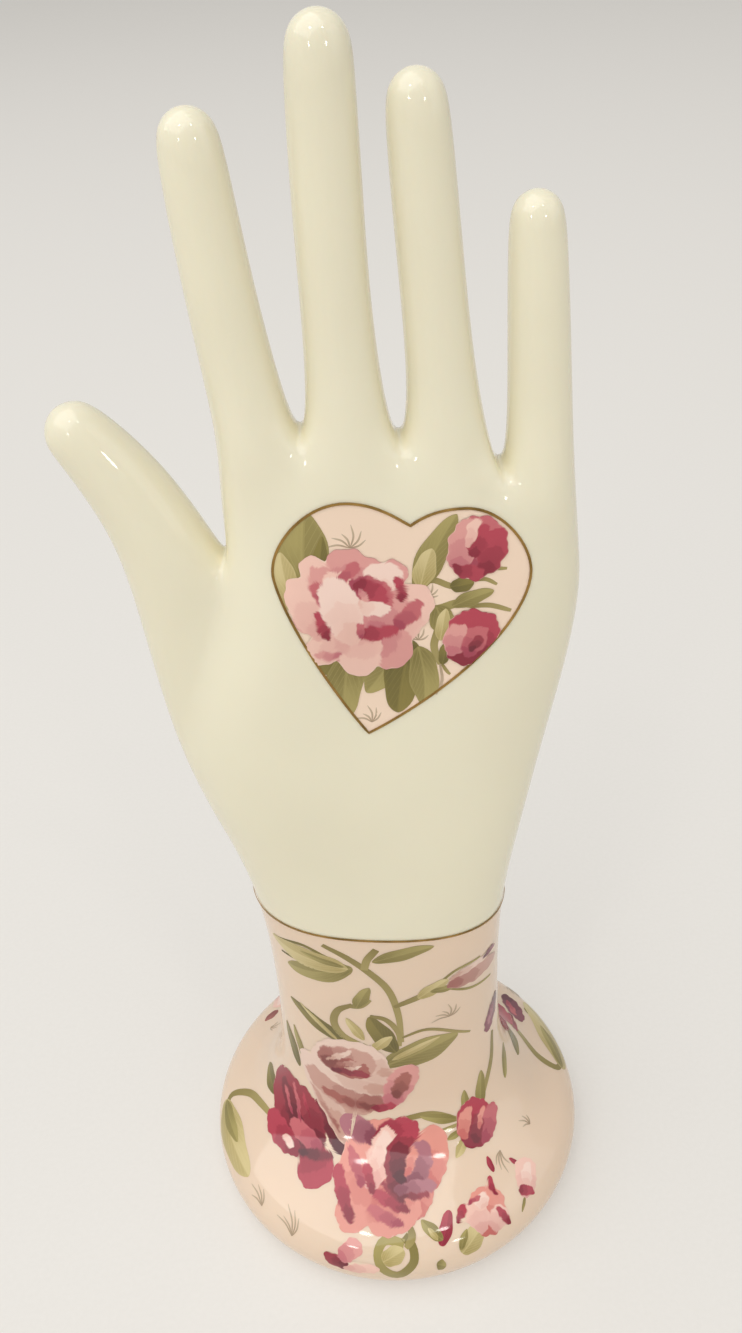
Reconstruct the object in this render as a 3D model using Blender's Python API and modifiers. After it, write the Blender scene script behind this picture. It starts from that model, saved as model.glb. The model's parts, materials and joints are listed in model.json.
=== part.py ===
"""A porcelain hand that stands upright on a round foot, for rings, bracelets and necklaces.

Slip-cast in one piece: four fingers and a thumb blend into the palm, the wrist is an oval
column, and it flares into a full-round foot that stands on a flat seat ring. Inside, the palm,
wrist and foot are hollow with an even wall, as the mould leaves them when the slip is poured out
through the hole in the foot, and the fingers are cast solid. The palm faces -Y, the thumb points
to -X and the seat lies at Z = 0. Sizes are in metres and measured from the foot's own axis; at
the end the piece is moved so that the origin is at the middle of its base.

The outside is one coarse cage: a grid that caps the palm, two columns for each finger, is
extruded down through the palm, wrist and foot, then each finger and the thumb is extruded out of
it. Subdivision Surface rounds the cage into the finished form. The hollow is cut by a core made
in the same way, one wall smaller all round, and by a drill for the pour hole.
"""

import math
from functools import partial
from typing import NamedTuple

import bmesh
import bpy
from mathutils import Matrix, Vector

OBJECT_NAME = "hand_jewelry_stand"

# Foot
FOOT_RADIUS = 0.0422
FOOT_THICKNESS = 0.016
SEAT_OUTER_RADIUS = 0.0365
SEAT_WIDTH = 0.004
RECESS_DEPTH = 0.0025
FILLET_HEIGHT = 0.0115
FILLET_REACH = 0.0065
FILLET_START = 0.2
FILLET_STEEP = 0.35

# Wrist, at its narrowest
WRIST_HEIGHT = 0.043
WRIST_WIDTH = 0.0476
WRIST_DEPTH = 0.0316

# Finger webs: they lie on an arch, highest over ARCH_CENTRE
WEB_HEIGHT = 0.1787
WEB_DEPTH = 0.012
WEB_DIP = 0.003
ARCH_CENTRE = -0.0103
ARCH_RADIUS = 0.077

# Finger roots, side by side from the palm's left edge
PALM_LEFT = -0.0213
INDEX_ROOT = 0.0138
MIDDLE_ROOT = 0.0149
RING_ROOT = 0.0159
LITTLE_ROOT = 0.0131
KNUCKLE_DEPTH = 0.0165
KNUCKLE_ROUNDING = 0.002

# Palm sections, from the knuckles down to the wrist: height, reach to each side, thickness
KNUCKLES_HEIGHT = 0.1690
KNUCKLES_THICKNESS = 0.0184
UPPER_PALM_HEIGHT = 0.1585
UPPER_PALM_LEFT = 0.0213
UPPER_PALM_RIGHT = 0.0371
UPPER_PALM_THICKNESS = 0.0210
THUMB_ROOT_HEIGHT = 0.1400
THUMB_ROOT_LEFT = 0.0290
THUMB_ROOT_RIGHT = 0.0357
THUMB_ROOT_THICKNESS = 0.0236
PALM_HEIGHT = 0.1200
PALM_REACH_LEFT = 0.0360
PALM_REACH_RIGHT = 0.0321
PALM_THICKNESS = 0.0262
HEEL_HEIGHT = 0.1000
HEEL_LEFT = 0.0280
HEEL_RIGHT = 0.0282
HEEL_THICKNESS = 0.0295
CUFF_HEIGHT = 0.0810
CUFF_WIDTH = 0.0489
CUFF_THICKNESS = 0.0315

# Ball of the thumb, and the hollow of the palm beside it
BALL_RISE = 0.0045
BALL_PLACE = -0.0200
BALL_HEIGHT = 0.1290
BALL_HALF_WIDTH = 0.0120
BALL_HALF_HEIGHT = 0.0260
HOLLOW_DEPTH = 0.0032
HOLLOW_PLACE = 0.0040
HOLLOW_HEIGHT = 0.1470
HOLLOW_HALF_WIDTH = 0.0130
HOLLOW_HALF_HEIGHT = 0.0220

# Digits: length from the web, width at the root, halfway and at the tip, and the lean in degrees
# at the root and at the tip
INDEX_LENGTH = 0.0487
INDEX_ROOT_WIDTH = 0.0111
INDEX_WAIST_WIDTH = 0.0102
INDEX_TIP_WIDTH = 0.0094
INDEX_LEANS = (-9.4, -1.9)
MIDDLE_LENGTH = 0.0594
MIDDLE_ROOT_WIDTH = 0.0107
MIDDLE_WAIST_WIDTH = 0.0101
MIDDLE_TIP_WIDTH = 0.0097
MIDDLE_LEANS = (-3.4, 2.4)
RING_LENGTH = 0.0556
RING_ROOT_WIDTH = 0.0103
RING_WAIST_WIDTH = 0.0096
RING_TIP_WIDTH = 0.0091
RING_LEANS = (-4.8, -3.2)
LITTLE_LENGTH = 0.0454
LITTLE_ROOT_WIDTH = 0.0102
LITTLE_WAIST_WIDTH = 0.0095
LITTLE_TIP_WIDTH = 0.0085
LITTLE_LEANS = (-1.8, -2.8)
THUMB_LENGTH = 0.0399
THUMB_ROOT_WIDTH = 0.0158
THUMB_WAIST_WIDTH = 0.0138
THUMB_TIP_WIDTH = 0.0110
THUMB_LEANS = (-6.0, -46.0)
THUMB_RISE = 0.0108
FINGER_FLATNESS = 0.95

# Rings up a digit: two as shares of its length, two as tip radii below its end, then the crown
ROOT_RING = 0.17
WAIST_RING = 0.50
TIP_RING = 1.55
CROWN_RING = 0.55
CROWN_NARROWING = 0.84
CROWN_RISE = 0.15

# Hollow inside
CAST_WALL = 0.0038
POUR_HOLE_DIAMETER = 0.016
POUR_HOLE_SIDES = 40

# Cage, and how far the upper sections follow the arch of the webs
KNUCKLES_ARCH = 0.90
UPPER_PALM_ARCH = 0.60
THUMB_ROOT_ARCH = 0.25
COLUMNS = 8
ROWS = 2
RIM_POINTS = 2 * (COLUMNS + ROWS)
DIGIT_POINTS = 8
THUMB_LEVEL = 3
PALM_SQUARENESS = 2.5
WRIST_SQUARENESS = 2.1
ROUND = 2.0
FOOT_EDGE_TURNS = (90.0, 45.0, 0.0, -45.0)
LEAN_STEPS = 16
SMOOTHING_LEVELS = 1

GLAZE_COLOR = (0.87, 0.87, 0.79, 1.0)
GLAZE_ROUGHNESS = 0.12


class Section(NamedTuple):
    """A level section, by its reach from the foot's axis each way; arch bends it along the webs."""

    height: float
    left: float
    right: float
    half_depth: float
    arch: float = 0.0
    squareness: float = ROUND

    def inside(self, wall):
        """The section of the hollow, one wall smaller all round."""
        return self._replace(
            left=self.left - wall, right=self.right - wall, half_depth=self.half_depth - wall
        )


class Digit(NamedTuple):
    """A finger or thumb: a round, tapering form whose lean in degrees changes from root to tip."""

    length: float
    root_width: float
    waist_width: float
    tip_width: float
    root_lean: float
    tip_lean: float


def fingers():
    """The four fingers from the index finger to the little finger."""
    return (
        Digit(INDEX_LENGTH, INDEX_ROOT_WIDTH, INDEX_WAIST_WIDTH, INDEX_TIP_WIDTH, *INDEX_LEANS),
        Digit(MIDDLE_LENGTH, MIDDLE_ROOT_WIDTH, MIDDLE_WAIST_WIDTH, MIDDLE_TIP_WIDTH, *MIDDLE_LEANS),
        Digit(RING_LENGTH, RING_ROOT_WIDTH, RING_WAIST_WIDTH, RING_TIP_WIDTH, *RING_LEANS),
        Digit(LITTLE_LENGTH, LITTLE_ROOT_WIDTH, LITTLE_WAIST_WIDTH, LITTLE_TIP_WIDTH, *LITTLE_LEANS),
    )


def thumb():
    """The thumb."""
    return Digit(THUMB_LENGTH, THUMB_ROOT_WIDTH, THUMB_WAIST_WIDTH, THUMB_TIP_WIDTH, *THUMB_LEANS)


def cage_factor(points):
    """How far outside a smooth round the points of its cage lie, for a ring of so many points."""
    return 3.0 / (2.0 + math.cos(2.0 * math.pi / points))


def web_height(x):
    """Height of the line of the finger webs over the place x."""
    return WEB_HEIGHT - (x - ARCH_CENTRE) ** 2 / (2.0 * ARCH_RADIUS)


def root_edges():
    """The places, from left to right, where one finger's root ends and the next begins."""
    edges = [PALM_LEFT]
    for root in (INDEX_ROOT, MIDDLE_ROOT, RING_ROOT, LITTLE_ROOT):
        edges.append(edges[-1] + root)
    return edges


def palm_sections():
    """The sections of the palm from the knuckles down to the wrist's cuff."""
    edges = root_edges()
    half_cuff = CUFF_WIDTH / 2.0
    rows = (
        (KNUCKLES_HEIGHT, -edges[0], edges[-1], KNUCKLES_THICKNESS, KNUCKLES_ARCH),
        (UPPER_PALM_HEIGHT, UPPER_PALM_LEFT, UPPER_PALM_RIGHT, UPPER_PALM_THICKNESS, UPPER_PALM_ARCH),
        (THUMB_ROOT_HEIGHT, THUMB_ROOT_LEFT, THUMB_ROOT_RIGHT, THUMB_ROOT_THICKNESS, THUMB_ROOT_ARCH),
        (PALM_HEIGHT, PALM_REACH_LEFT, PALM_REACH_RIGHT, PALM_THICKNESS, 0.0),
        (HEEL_HEIGHT, HEEL_LEFT, HEEL_RIGHT, HEEL_THICKNESS, 0.0),
        (CUFF_HEIGHT, half_cuff, half_cuff, CUFF_THICKNESS, 0.0),
    )
    return [
        Section(height, left, right, thickness / 2.0, arch, PALM_SQUARENESS)
        for height, left, right, thickness, arch in rows
    ]


def wrist_sections():
    """The wrist and its flare, down to the foot."""
    half_width = WRIST_WIDTH / 2.0
    half_depth = WRIST_DEPTH / 2.0
    flare_foot = FOOT_THICKNESS / 2.0 * (1.0 + cage_factor(DIGIT_POINTS))
    sections = []
    for height, widening in (
        ((WRIST_HEIGHT + CUFF_HEIGHT) / 2.0, 0.0),
        (WRIST_HEIGHT, 0.0),
        (flare_foot + FILLET_HEIGHT, FILLET_REACH * FILLET_START),
        (flare_foot + FILLET_HEIGHT * FILLET_STEEP, FILLET_REACH),
    ):
        width, depth = half_width + widening, half_depth + widening
        sections.append(Section(height, width, width, depth, squareness=WRIST_SQUARENESS))
    return sections


def foot_sections(wall):
    """The foot's full-round edge, from its top down; a wall above zero gives the hollow inside it."""
    middle = FOOT_THICKNESS / 2.0
    edge = (middle - wall) * cage_factor(DIGIT_POINTS)
    sections = []
    for turn in FOOT_EDGE_TURNS:
        reach = FOOT_RADIUS - middle + edge * math.cos(math.radians(turn))
        height = middle + edge * math.sin(math.radians(turn))
        sections.append(Section(height, reach, reach, reach))
    return sections


def column_place(column):
    """Where a column of the palm's cap lies: on a root's edge, or halfway over a finger."""
    edges = root_edges()
    finger, half = divmod(column, 2)
    if half:
        return (edges[finger] + edges[finger + 1]) / 2.0
    return edges[finger]


def cap_point(column, row):
    """A point of the grid that caps the palm, under the fingers."""
    x = column_place(column)
    over_finger = column % 2 == 1
    outside = column in (0, COLUMNS)
    depth = (KNUCKLE_DEPTH if over_finger else WEB_DEPTH) / 2.0 * cage_factor(RIM_POINTS)
    z = web_height(x)
    if outside and row != 1:
        x += KNUCKLE_ROUNDING if column == 0 else -KNUCKLE_ROUNDING
    if not outside and not over_finger:
        z -= WEB_DIP
    return Vector((x, (row - 1) * depth, z))


def rim_angle(column, row):
    """The angle round the wrist of a rim point, with the palm side's middle at 270 degrees."""
    step = 360.0 / RIM_POINTS
    if row == 1:
        return 180.0 if column == 0 else 0.0
    turn = step * (column + 1)
    return 180.0 + turn if row == 0 else 180.0 - turn


def rim_point(section, column, row):
    """A rim point of a section."""
    angle = math.radians(rim_angle(column, row))
    c, s = math.cos(angle), math.sin(angle)
    factor = cage_factor(RIM_POINTS)
    half_width = (section.left + section.right) / 2.0
    x = math.copysign(abs(c) ** (2.0 / section.squareness), c) * half_width * factor
    y = math.copysign(abs(s) ** (2.0 / section.squareness), s) * section.half_depth * factor
    x += (section.right - section.left) / 2.0
    return Vector((x, y, section.height + section.arch * (web_height(x) - WEB_HEIGHT)))


def swell(point, place, height, half_width, half_height):
    """How much of a soft swelling's full rise is reached at a point, from 0 to 1."""
    across = (point.x - place) / half_width
    up = (point.z - height) / half_height
    return math.exp(-across * across - up * up)


def palm_point(section, column, row):
    """A rim point of a palm section, with the ball of the thumb and the hollow beside it."""
    point = rim_point(section, column, row)
    if row == 0:
        ball = swell(point, BALL_PLACE, BALL_HEIGHT, BALL_HALF_WIDTH, BALL_HALF_HEIGHT)
        hollow = swell(point, HOLLOW_PLACE, HOLLOW_HEIGHT, HOLLOW_HALF_WIDTH, HOLLOW_HALF_HEIGHT)
        point.y += HOLLOW_DEPTH * hollow - BALL_RISE * ball
    return point


def core_cap_point(section, column, row):
    """A point of the grid that closes the top of the hollow, between its palm side and its back."""
    palm_side = palm_point(section, column, 0)
    back = palm_point(section, column, ROWS)
    return palm_side.lerp(back, row / ROWS)


class Cage:
    """A cage while it is being extruded, with the column, row and level of each point."""

    def __init__(self):
        self.bm = bmesh.new()
        self.column = self.bm.verts.layers.int.new("column")
        self.row = self.bm.verts.layers.int.new("row")
        self.level = self.bm.verts.layers.int.new("level")
        self.crease = self.bm.edges.layers.float.new("crease_edge")
        self.rim = []
        self.levels = 0

    def add_cap(self, place):
        """The grid at the top; on the hand its blocks of four faces become the fingers."""
        bmesh.ops.create_grid(self.bm, x_segments=COLUMNS, y_segments=ROWS, size=1.0)
        for vert in self.bm.verts:
            vert[self.column] = round((vert.co.x + 1.0) / 2.0 * COLUMNS)
            vert[self.row] = round((vert.co.y + 1.0) / 2.0 * ROWS)
            vert.co = place(vert[self.column], vert[self.row])
        self.rim = [edge for edge in self.bm.edges if edge.is_boundary]

    def extrude_rim(self, place):
        """Extrudes the open rim by one section; place gives each point by its column and row."""
        self.levels += 1
        made = bmesh.ops.extrude_edge_only(self.bm, edges=self.rim)["geom"]
        for vert in made:
            if isinstance(vert, bmesh.types.BMVert):
                vert[self.level] = self.levels
                vert.co = place(vert[self.column], vert[self.row])
        self.rim = [edge for edge in made if isinstance(edge, bmesh.types.BMEdge) and edge.is_boundary]

    def sharpen_rim(self):
        """Keeps the rim as it is under smoothing."""
        for edge in self.rim:
            edge[self.crease] = 1.0

    def close_rim(self, height):
        """Closes the rim with one flat face fan."""
        made = bmesh.ops.extrude_edge_only(self.bm, edges=self.rim)["geom"]
        verts = [vert for vert in made if isinstance(vert, bmesh.types.BMVert)]
        bmesh.ops.pointmerge(self.bm, verts=verts, merge_co=Vector((0.0, 0.0, height)))

    def block(self, first_column, columns, first_level, levels):
        """The four faces over a finger's root, or at the side where the thumb grows."""
        wanted = []
        for face in self.bm.faces:
            inside = all(
                first_column <= vert[self.column] <= first_column + columns
                and first_level <= vert[self.level] <= first_level + levels
                for vert in face.verts
            )
            if inside:
                wanted.append(face)
        return wanted

    def extrude_block(self, faces):
        """Extrudes a block of faces and gives back its new faces."""
        made = bmesh.ops.extrude_face_region(self.bm, geom=faces)["geom"]
        raised = [item for item in made if isinstance(item, bmesh.types.BMFace)]
        bmesh.ops.delete(self.bm, geom=faces, context="FACES")
        return raised

    def finish(self, name, collection):
        """The cage as an object whose faces point outwards, rounded by Subdivision Surface."""
        bmesh.ops.recalc_face_normals(self.bm, faces=self.bm.faces)
        mesh = bpy.data.meshes.new(name)
        self.bm.to_mesh(mesh)
        self.bm.free()
        mesh.shade_smooth()
        obj = bpy.data.objects.new(name, mesh)
        collection.objects.link(obj)
        rounding = obj.modifiers.new("rounded_form", "SUBSURF")
        rounding.levels = SMOOTHING_LEVELS
        rounding.render_levels = SMOOTHING_LEVELS
        return obj


def lean_at(digit, distance):
    """A digit's lean in degrees at a distance from its root."""
    return digit.root_lean + (digit.tip_lean - digit.root_lean) * distance / digit.length


def digit_centre(digit, start, distance):
    """The middle of a digit at a distance from its root."""
    point = start.copy()
    stride = distance / LEAN_STEPS
    for step in range(LEAN_STEPS):
        turn = math.radians(lean_at(digit, (step + 0.5) * stride))
        point += Vector((math.sin(turn), 0.0, math.cos(turn))) * stride
    return point


def digit_rings(digit):
    """Distance from the root and cage half-width of each ring up a digit."""
    factor = cage_factor(DIGIT_POINTS) / 2.0
    tip_radius = digit.tip_width / 2.0
    return (
        (digit.length * ROOT_RING, digit.root_width * factor),
        (digit.length * WAIST_RING, digit.waist_width * factor),
        (digit.length - tip_radius * TIP_RING, digit.tip_width * factor),
        (digit.length - tip_radius * CROWN_RING, digit.tip_width * factor * CROWN_NARROWING),
    )


def grow_digit(cage, faces, digit, start, layer, middle, side):
    """Extrudes a block of faces along a digit; the layer says how far across it a point lies."""
    tip = digit_centre(digit, start, digit.length + digit.tip_width / 2.0 * CROWN_RISE)
    for distance, half_width in digit_rings(digit):
        faces = cage.extrude_block(faces)
        centre = digit_centre(digit, start, distance)
        turn = math.radians(lean_at(digit, distance))
        across = Vector((math.cos(turn), 0.0, -math.sin(turn)))
        for vert in {vert for face in faces for vert in face.verts}:
            reach = Vector(((vert[layer] - middle) * side, vert[cage.row] - 1)).normalized()
            vert.co = centre + across * reach.x * half_width
            vert.co.y += reach.y * half_width * FINGER_FLATNESS
            if reach.length == 0.0:
                vert.co = tip


def add_digits(cage):
    """Grows each finger from its two columns of the cap, and the thumb from the palm's side."""
    edges = root_edges()
    growths = []
    for number, digit in enumerate(fingers()):
        x = (edges[number] + edges[number + 1]) / 2.0
        start = Vector((x, 0.0, web_height(x)))
        column = 2 * number
        growths.append((cage.block(column, 2, 0, 0), digit, start, cage.column, column + 1, 1))
    start = Vector((-THUMB_ROOT_LEFT, 0.0, THUMB_ROOT_HEIGHT + THUMB_RISE))
    growths.append((cage.block(0, 0, THUMB_LEVEL - 1, 2), thumb(), start, cage.level, THUMB_LEVEL, -1))
    for growth in growths:
        grow_digit(cage, *growth)


def build_hand(collection):
    """The outside of the hand, wrist and foot."""
    cage = Cage()
    cage.add_cap(cap_point)
    for section in palm_sections():
        cage.extrude_rim(partial(palm_point, section))
    for section in wrist_sections() + foot_sections(0.0):
        cage.extrude_rim(partial(rim_point, section))
    seat_inner = SEAT_OUTER_RADIUS - SEAT_WIDTH
    for reach in (SEAT_OUTER_RADIUS, seat_inner):
        cage.extrude_rim(partial(rim_point, Section(0.0, reach, reach, reach)))
        cage.sharpen_rim()
    reach = seat_inner - RECESS_DEPTH
    cage.extrude_rim(partial(rim_point, Section(RECESS_DEPTH, reach, reach, reach)))
    cage.close_rim(RECESS_DEPTH)
    add_digits(cage)
    return cage.finish("porcelain_hand", collection)


def build_core(collection):
    """The hollow that the slip leaves when it is poured out, one wall inside the outer form."""
    cage = Cage()
    palm = [section.inside(CAST_WALL) for section in palm_sections()]
    cage.add_cap(partial(core_cap_point, palm[0]))
    for section in palm[1:]:
        cage.extrude_rim(partial(palm_point, section))
    for section in wrist_sections():
        cage.extrude_rim(partial(rim_point, section.inside(CAST_WALL)))
    for section in foot_sections(CAST_WALL):
        cage.extrude_rim(partial(rim_point, section))
    floor = RECESS_DEPTH + CAST_WALL
    reach = SEAT_OUTER_RADIUS - SEAT_WIDTH - CAST_WALL
    cage.extrude_rim(partial(rim_point, Section(floor, reach, reach, reach)))
    cage.close_rim(floor)
    return cage.finish("hollow_core", collection)


def build_pour_drill(collection):
    """The drill for the pour hole through the floor of the foot."""
    top = RECESS_DEPTH + 2.0 * CAST_WALL
    bm = bmesh.new()
    bmesh.ops.create_cone(
        bm,
        cap_ends=True,
        segments=POUR_HOLE_SIDES,
        radius1=POUR_HOLE_DIAMETER / 2.0,
        radius2=POUR_HOLE_DIAMETER / 2.0,
        depth=2.0 * top,
    )
    mesh = bpy.data.meshes.new("pour_drill")
    bm.to_mesh(mesh)
    bm.free()
    drill = bpy.data.objects.new("pour_drill", mesh)
    collection.objects.link(drill)
    return drill


def cut_away(obj, cutter):
    """Cuts one object's form out of another and leaves the cutter as a guide."""
    cut = obj.modifiers.new("cut_" + cutter.name, "BOOLEAN")
    cut.operation = "DIFFERENCE"
    cut.solver = "EXACT"
    cut.object = cutter
    cutter.display_type = "WIRE"
    cutter.hide_render = True


def glaze_material():
    """Clear glaze on ivory porcelain."""
    material = bpy.data.materials.new("ivory_glaze")
    material.use_nodes = True
    shader = material.node_tree.nodes["Principled BSDF"]
    shader.inputs["Base Color"].default_value = GLAZE_COLOR
    shader.inputs["Roughness"].default_value = GLAZE_ROUGHNESS
    shader.inputs["Metallic"].default_value = 0.0
    return material


def stand_on_origin(hand, others):
    """Moves the meshes so that the middle of the hand's finished box is over the origin."""
    bpy.context.view_layer.update()
    finished = hand.evaluated_get(bpy.context.evaluated_depsgraph_get()).to_mesh()
    xs = [vert.co.x for vert in finished.vertices]
    ys = [vert.co.y for vert in finished.vertices]
    middle = Vector((min(xs) + max(xs), min(ys) + max(ys), 0.0)) / 2.0
    for obj in (hand, *others):
        obj.data.transform(Matrix.Translation(-middle))


def new_collection(name):
    """A collection in the scene."""
    collection = bpy.data.collections.new(name)
    bpy.context.scene.collection.children.link(collection)
    return collection


def main():
    for obj in list(bpy.data.objects):
        bpy.data.objects.remove(obj)
    hand = build_hand(new_collection(OBJECT_NAME))
    hand.data.materials.append(glaze_material())
    cutters = new_collection("cutters")
    core = build_core(cutters)
    drill = build_pour_drill(cutters)
    cut_away(hand, core)
    cut_away(hand, drill)
    stand_on_origin(hand, (core, drill))


main()
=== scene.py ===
"""Looks of a porcelain jewelry hand: clear glaze on ivory, rose sprays fired on, thin gilt lines.

The cast body comes from the frame and is smoothed. The print is made of thin films, one for each
family of colour. A film's shapes are copies of a flat blank, drawn on a sheet that touches the
body at one spot and then laid down on it. Lengths here are millimetres and are turned to metres
where a mesh or a lamp takes them. Photo places are pixels of the 742 x 1333 picture.
"""

import json
import math
from typing import NamedTuple

import bpy
import numpy as np
from mathutils import Matrix, Vector
from mathutils.bvhtree import BVHTree
from mathutils.geometry import interpolate_bezier
from mathutils.interpolate import poly_3d_calc


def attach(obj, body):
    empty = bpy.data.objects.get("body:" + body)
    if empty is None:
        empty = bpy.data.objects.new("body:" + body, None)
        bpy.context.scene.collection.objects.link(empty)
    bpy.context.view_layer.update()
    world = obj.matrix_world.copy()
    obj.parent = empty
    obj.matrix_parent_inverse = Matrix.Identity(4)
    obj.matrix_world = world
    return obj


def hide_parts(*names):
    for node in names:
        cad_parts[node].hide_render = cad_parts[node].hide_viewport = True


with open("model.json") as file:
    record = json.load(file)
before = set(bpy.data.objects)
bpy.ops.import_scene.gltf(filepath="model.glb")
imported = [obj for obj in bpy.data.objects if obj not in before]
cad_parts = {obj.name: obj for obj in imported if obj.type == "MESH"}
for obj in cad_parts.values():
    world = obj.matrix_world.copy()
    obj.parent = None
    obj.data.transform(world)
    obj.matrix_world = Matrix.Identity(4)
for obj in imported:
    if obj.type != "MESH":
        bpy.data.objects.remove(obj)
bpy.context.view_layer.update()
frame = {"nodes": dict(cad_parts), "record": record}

MM = 0.001
NODE = "porcelain_hand"
BODY = "root"

# The foot's own axis, where the record's seat mount lies
SEAT = Vector(frame["record"]["mounts"][0]["pos_m"])
FOOT_AXIS_X = SEAT.x / MM

# The photograph's camera, with its place measured from the foot's axis
PHOTO_WIDTH, PHOTO_HEIGHT = 742, 1333
FOCAL_PIXELS = 1150.0
SENSOR = 36.0
EYE_RIGHT, EYE_AWAY, EYE_HEIGHT = 0.83, -167.21, 250.25
LOOKS_DOWN, LEANS = 34.774, -3.787

# Body: what is welded, up to what angle two facets make a square, the seat's edge and how often it is rounded
WELD = 0.01
SQUARE_ANGLE = 50.0
SEAT_EDGE = 1.0
ROUNDING = 2

# Gilt line round the wrist: its height on the foot's axis, its slopes and its width
WRIST_LINE_HEIGHT = 82.2
WRIST_LINE_SLOPE_RIGHT = -0.12
WRIST_LINE_SLOPE_AWAY = 0.10
GILT_WIDTH = 0.42
GILT_LIFT = 0.22
GILT_POINTS = 180
LEVELLINGS = 3

# Heart on the palm: places right of the foot's axis and up, each with its handles in and out
HEART = (
    ((6.4, 167.2), (8.4, 165.9), (10.4, 167.3)),
    ((13.4, 168.5), (17.2, 168.2), (22.4, 167.6)),
    ((27.4, 161.4), (27.4, 156.3), (27.2, 147.5)),
    ((12.0, 133.6), (-0.3, 128.8), (-4.6, 135.2)),
    ((-13.2, 153.0), (-13.7, 159.0), (-13.9, 163.8)),
    ((-8.2, 170.3), (-2.2, 170.4), (2.6, 170.4)),
)
HEART_STEPS = 24
CUT_STEPS = 40
HEART_MIDDLE = Vector((6.0, 152.0))

# Films: the first lies this far off the body, and each later one of a motif a step further
FIRST_LIFT = 0.050
LIFT_STEP = 0.007
FILM_THICKNESS = 0.12

# How far off the body a motif's sheet stands, and how far the upright sheet of palm and wrist does
REACH = 14.0
UPRIGHT_REACH = 60.0

# Paint edges: how far a brush wavers, how soft the edge is, and a leaf's waver as a share of its width
WAVER = 0.17
EDGE_BLUR = 0.16
LEAF_WAVER = 0.07
LEAF_LOBES = 5.0

# How late a line tapers off towards its ends
TAPER_POWER = 2.5

# Washes on a petal, in shares of its length and width, and the tones of thick and thin paint
WASHES = 2.0
WASH_EDGE = 0.75
WASH_START = 0.12
WASH_LENGTH = 0.62
SIDE_LIGHT = 0.22
RIM_START = 0.72
RIM_LIGHT = 0.25
BRUSH_TONES = (0.94, 1.04)

# Pen strokes of a sprig: their width, taper and bend, and how their lengths take turns
PEN_WIDTH = 0.32
PEN_TAPER = 0.8
PEN_BEND = 0.12
PEN_LENGTHS = (0.7, 0.85, 1.0)

# Blanks: rings and points round, for leaves, buds, flowers and grounds, and the steps of a line's strip
LEAF_BLANK = (9, 44)
BUD_BLANK = (28, 130)
FLOWER_BLANK = (40, 184)
GROUND_BLANK = (26, 144)
STRIP_STEPS = 30

# A flower that reaches less far than this from its middle takes the bud's blank
BUD_REACH = 14.0

# How finely a flower's outline is felt for, and how much cover counts as paint
OUTLINE_STEPS = 120
LEAST_COVER = 0.3
LEAST_REACH = 0.1

# Glaze: its gloss, and the ripples that dipping leaves, with the size, detail and depth of each
GLAZE_IOR = 1.52
GLAZE_ROUGHNESS = 0.07
BARE_ROUGHNESS = 0.75
SEAT_HEIGHT = 0.3
RIPPLE_STRENGTH = 0.05
RIPPLES = ((2.38, 1.5, 0.4), (11.1, 1.0, 1.5))

# Porcelain: how far and how much light glows through it, and how its tone drifts
GLOW = 0.12
GLOW_DEPTHS = (4.0, 3.0, 2.0)
TONE_DRIFT = 35.7
TONES = (0.97, 1.02)

# Enamel: streaks across and along a stroke, the size of its clouds, the share of each, and its pale rim
STREAKS = (9.0, 1.6, 1.0)
STREAK_SHARE = 0.45
ENAMEL_CLOUD = 3.03
CLOUD_SHARE = 0.30
ENAMEL_RIM = 0.86
ENAMEL_RIM_TONE = 0.35

# Leaf veins: the shade of one half, the ribs' number, slant and width, the spine's width, and their tone
HALF_SHADE = 0.55
RIBS = 7.0
RIB_SLANT = -1.1
RIB_WIDTH = 0.12
SPINE_WIDTH = 0.035
VEIN_TONE = 0.5

# Gilt: the size of its worn patches, and how glossy it is from bright to worn
GILT_WEAR = 3.85
GILT_ROUGHNESS = (0.12, 0.34)

# Paper: its grain is drawn coarser than real paper's, because that would be too fine to show
PAPER_GRAIN = 1.11
PAPER_ROUGHNESS = 0.9
PAPER_SHINE = 0.2

# What a printed shape notes at each point: its two tones, how near its rim it is, and the body's normal
PRINT_NOTES = {"deep": "FLOAT_COLOR", "pale": "FLOAT_COLOR", "rim": "FLOAT", "shine": "FLOAT_VECTOR"}


def linear(code):
    """The linear colour of an sRGB hex value."""
    parts = [int(code[i:i + 2], 16) / 255.0 for i in (0, 2, 4)]
    curved = [part / 12.92 if part <= 0.04045 else ((part + 0.055) / 1.055) ** 2.4 for part in parts]
    return (*curved, 1.0)


IVORY = linear("F3EDD4")
CREAM_GROUND = linear("F0D7BF")
HEART_GROUND = linear("FBE1CA")
BARE_CLAY = linear("E4DCC8")
GILT_DARK = linear("44331B")
GILT = linear("C79F5C")
PAPER_DARK = linear("E6E3DD")
PAPER_PALE = linear("EDEAE5")
PAPER_SEEN = linear("F4F1EC")
ROOM = linear("F1EEE8")


class Paint(NamedTuple):
    """The two ends of a painted tone, where the brush pressed and where it left off."""

    deep: tuple
    pale: tuple


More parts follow.
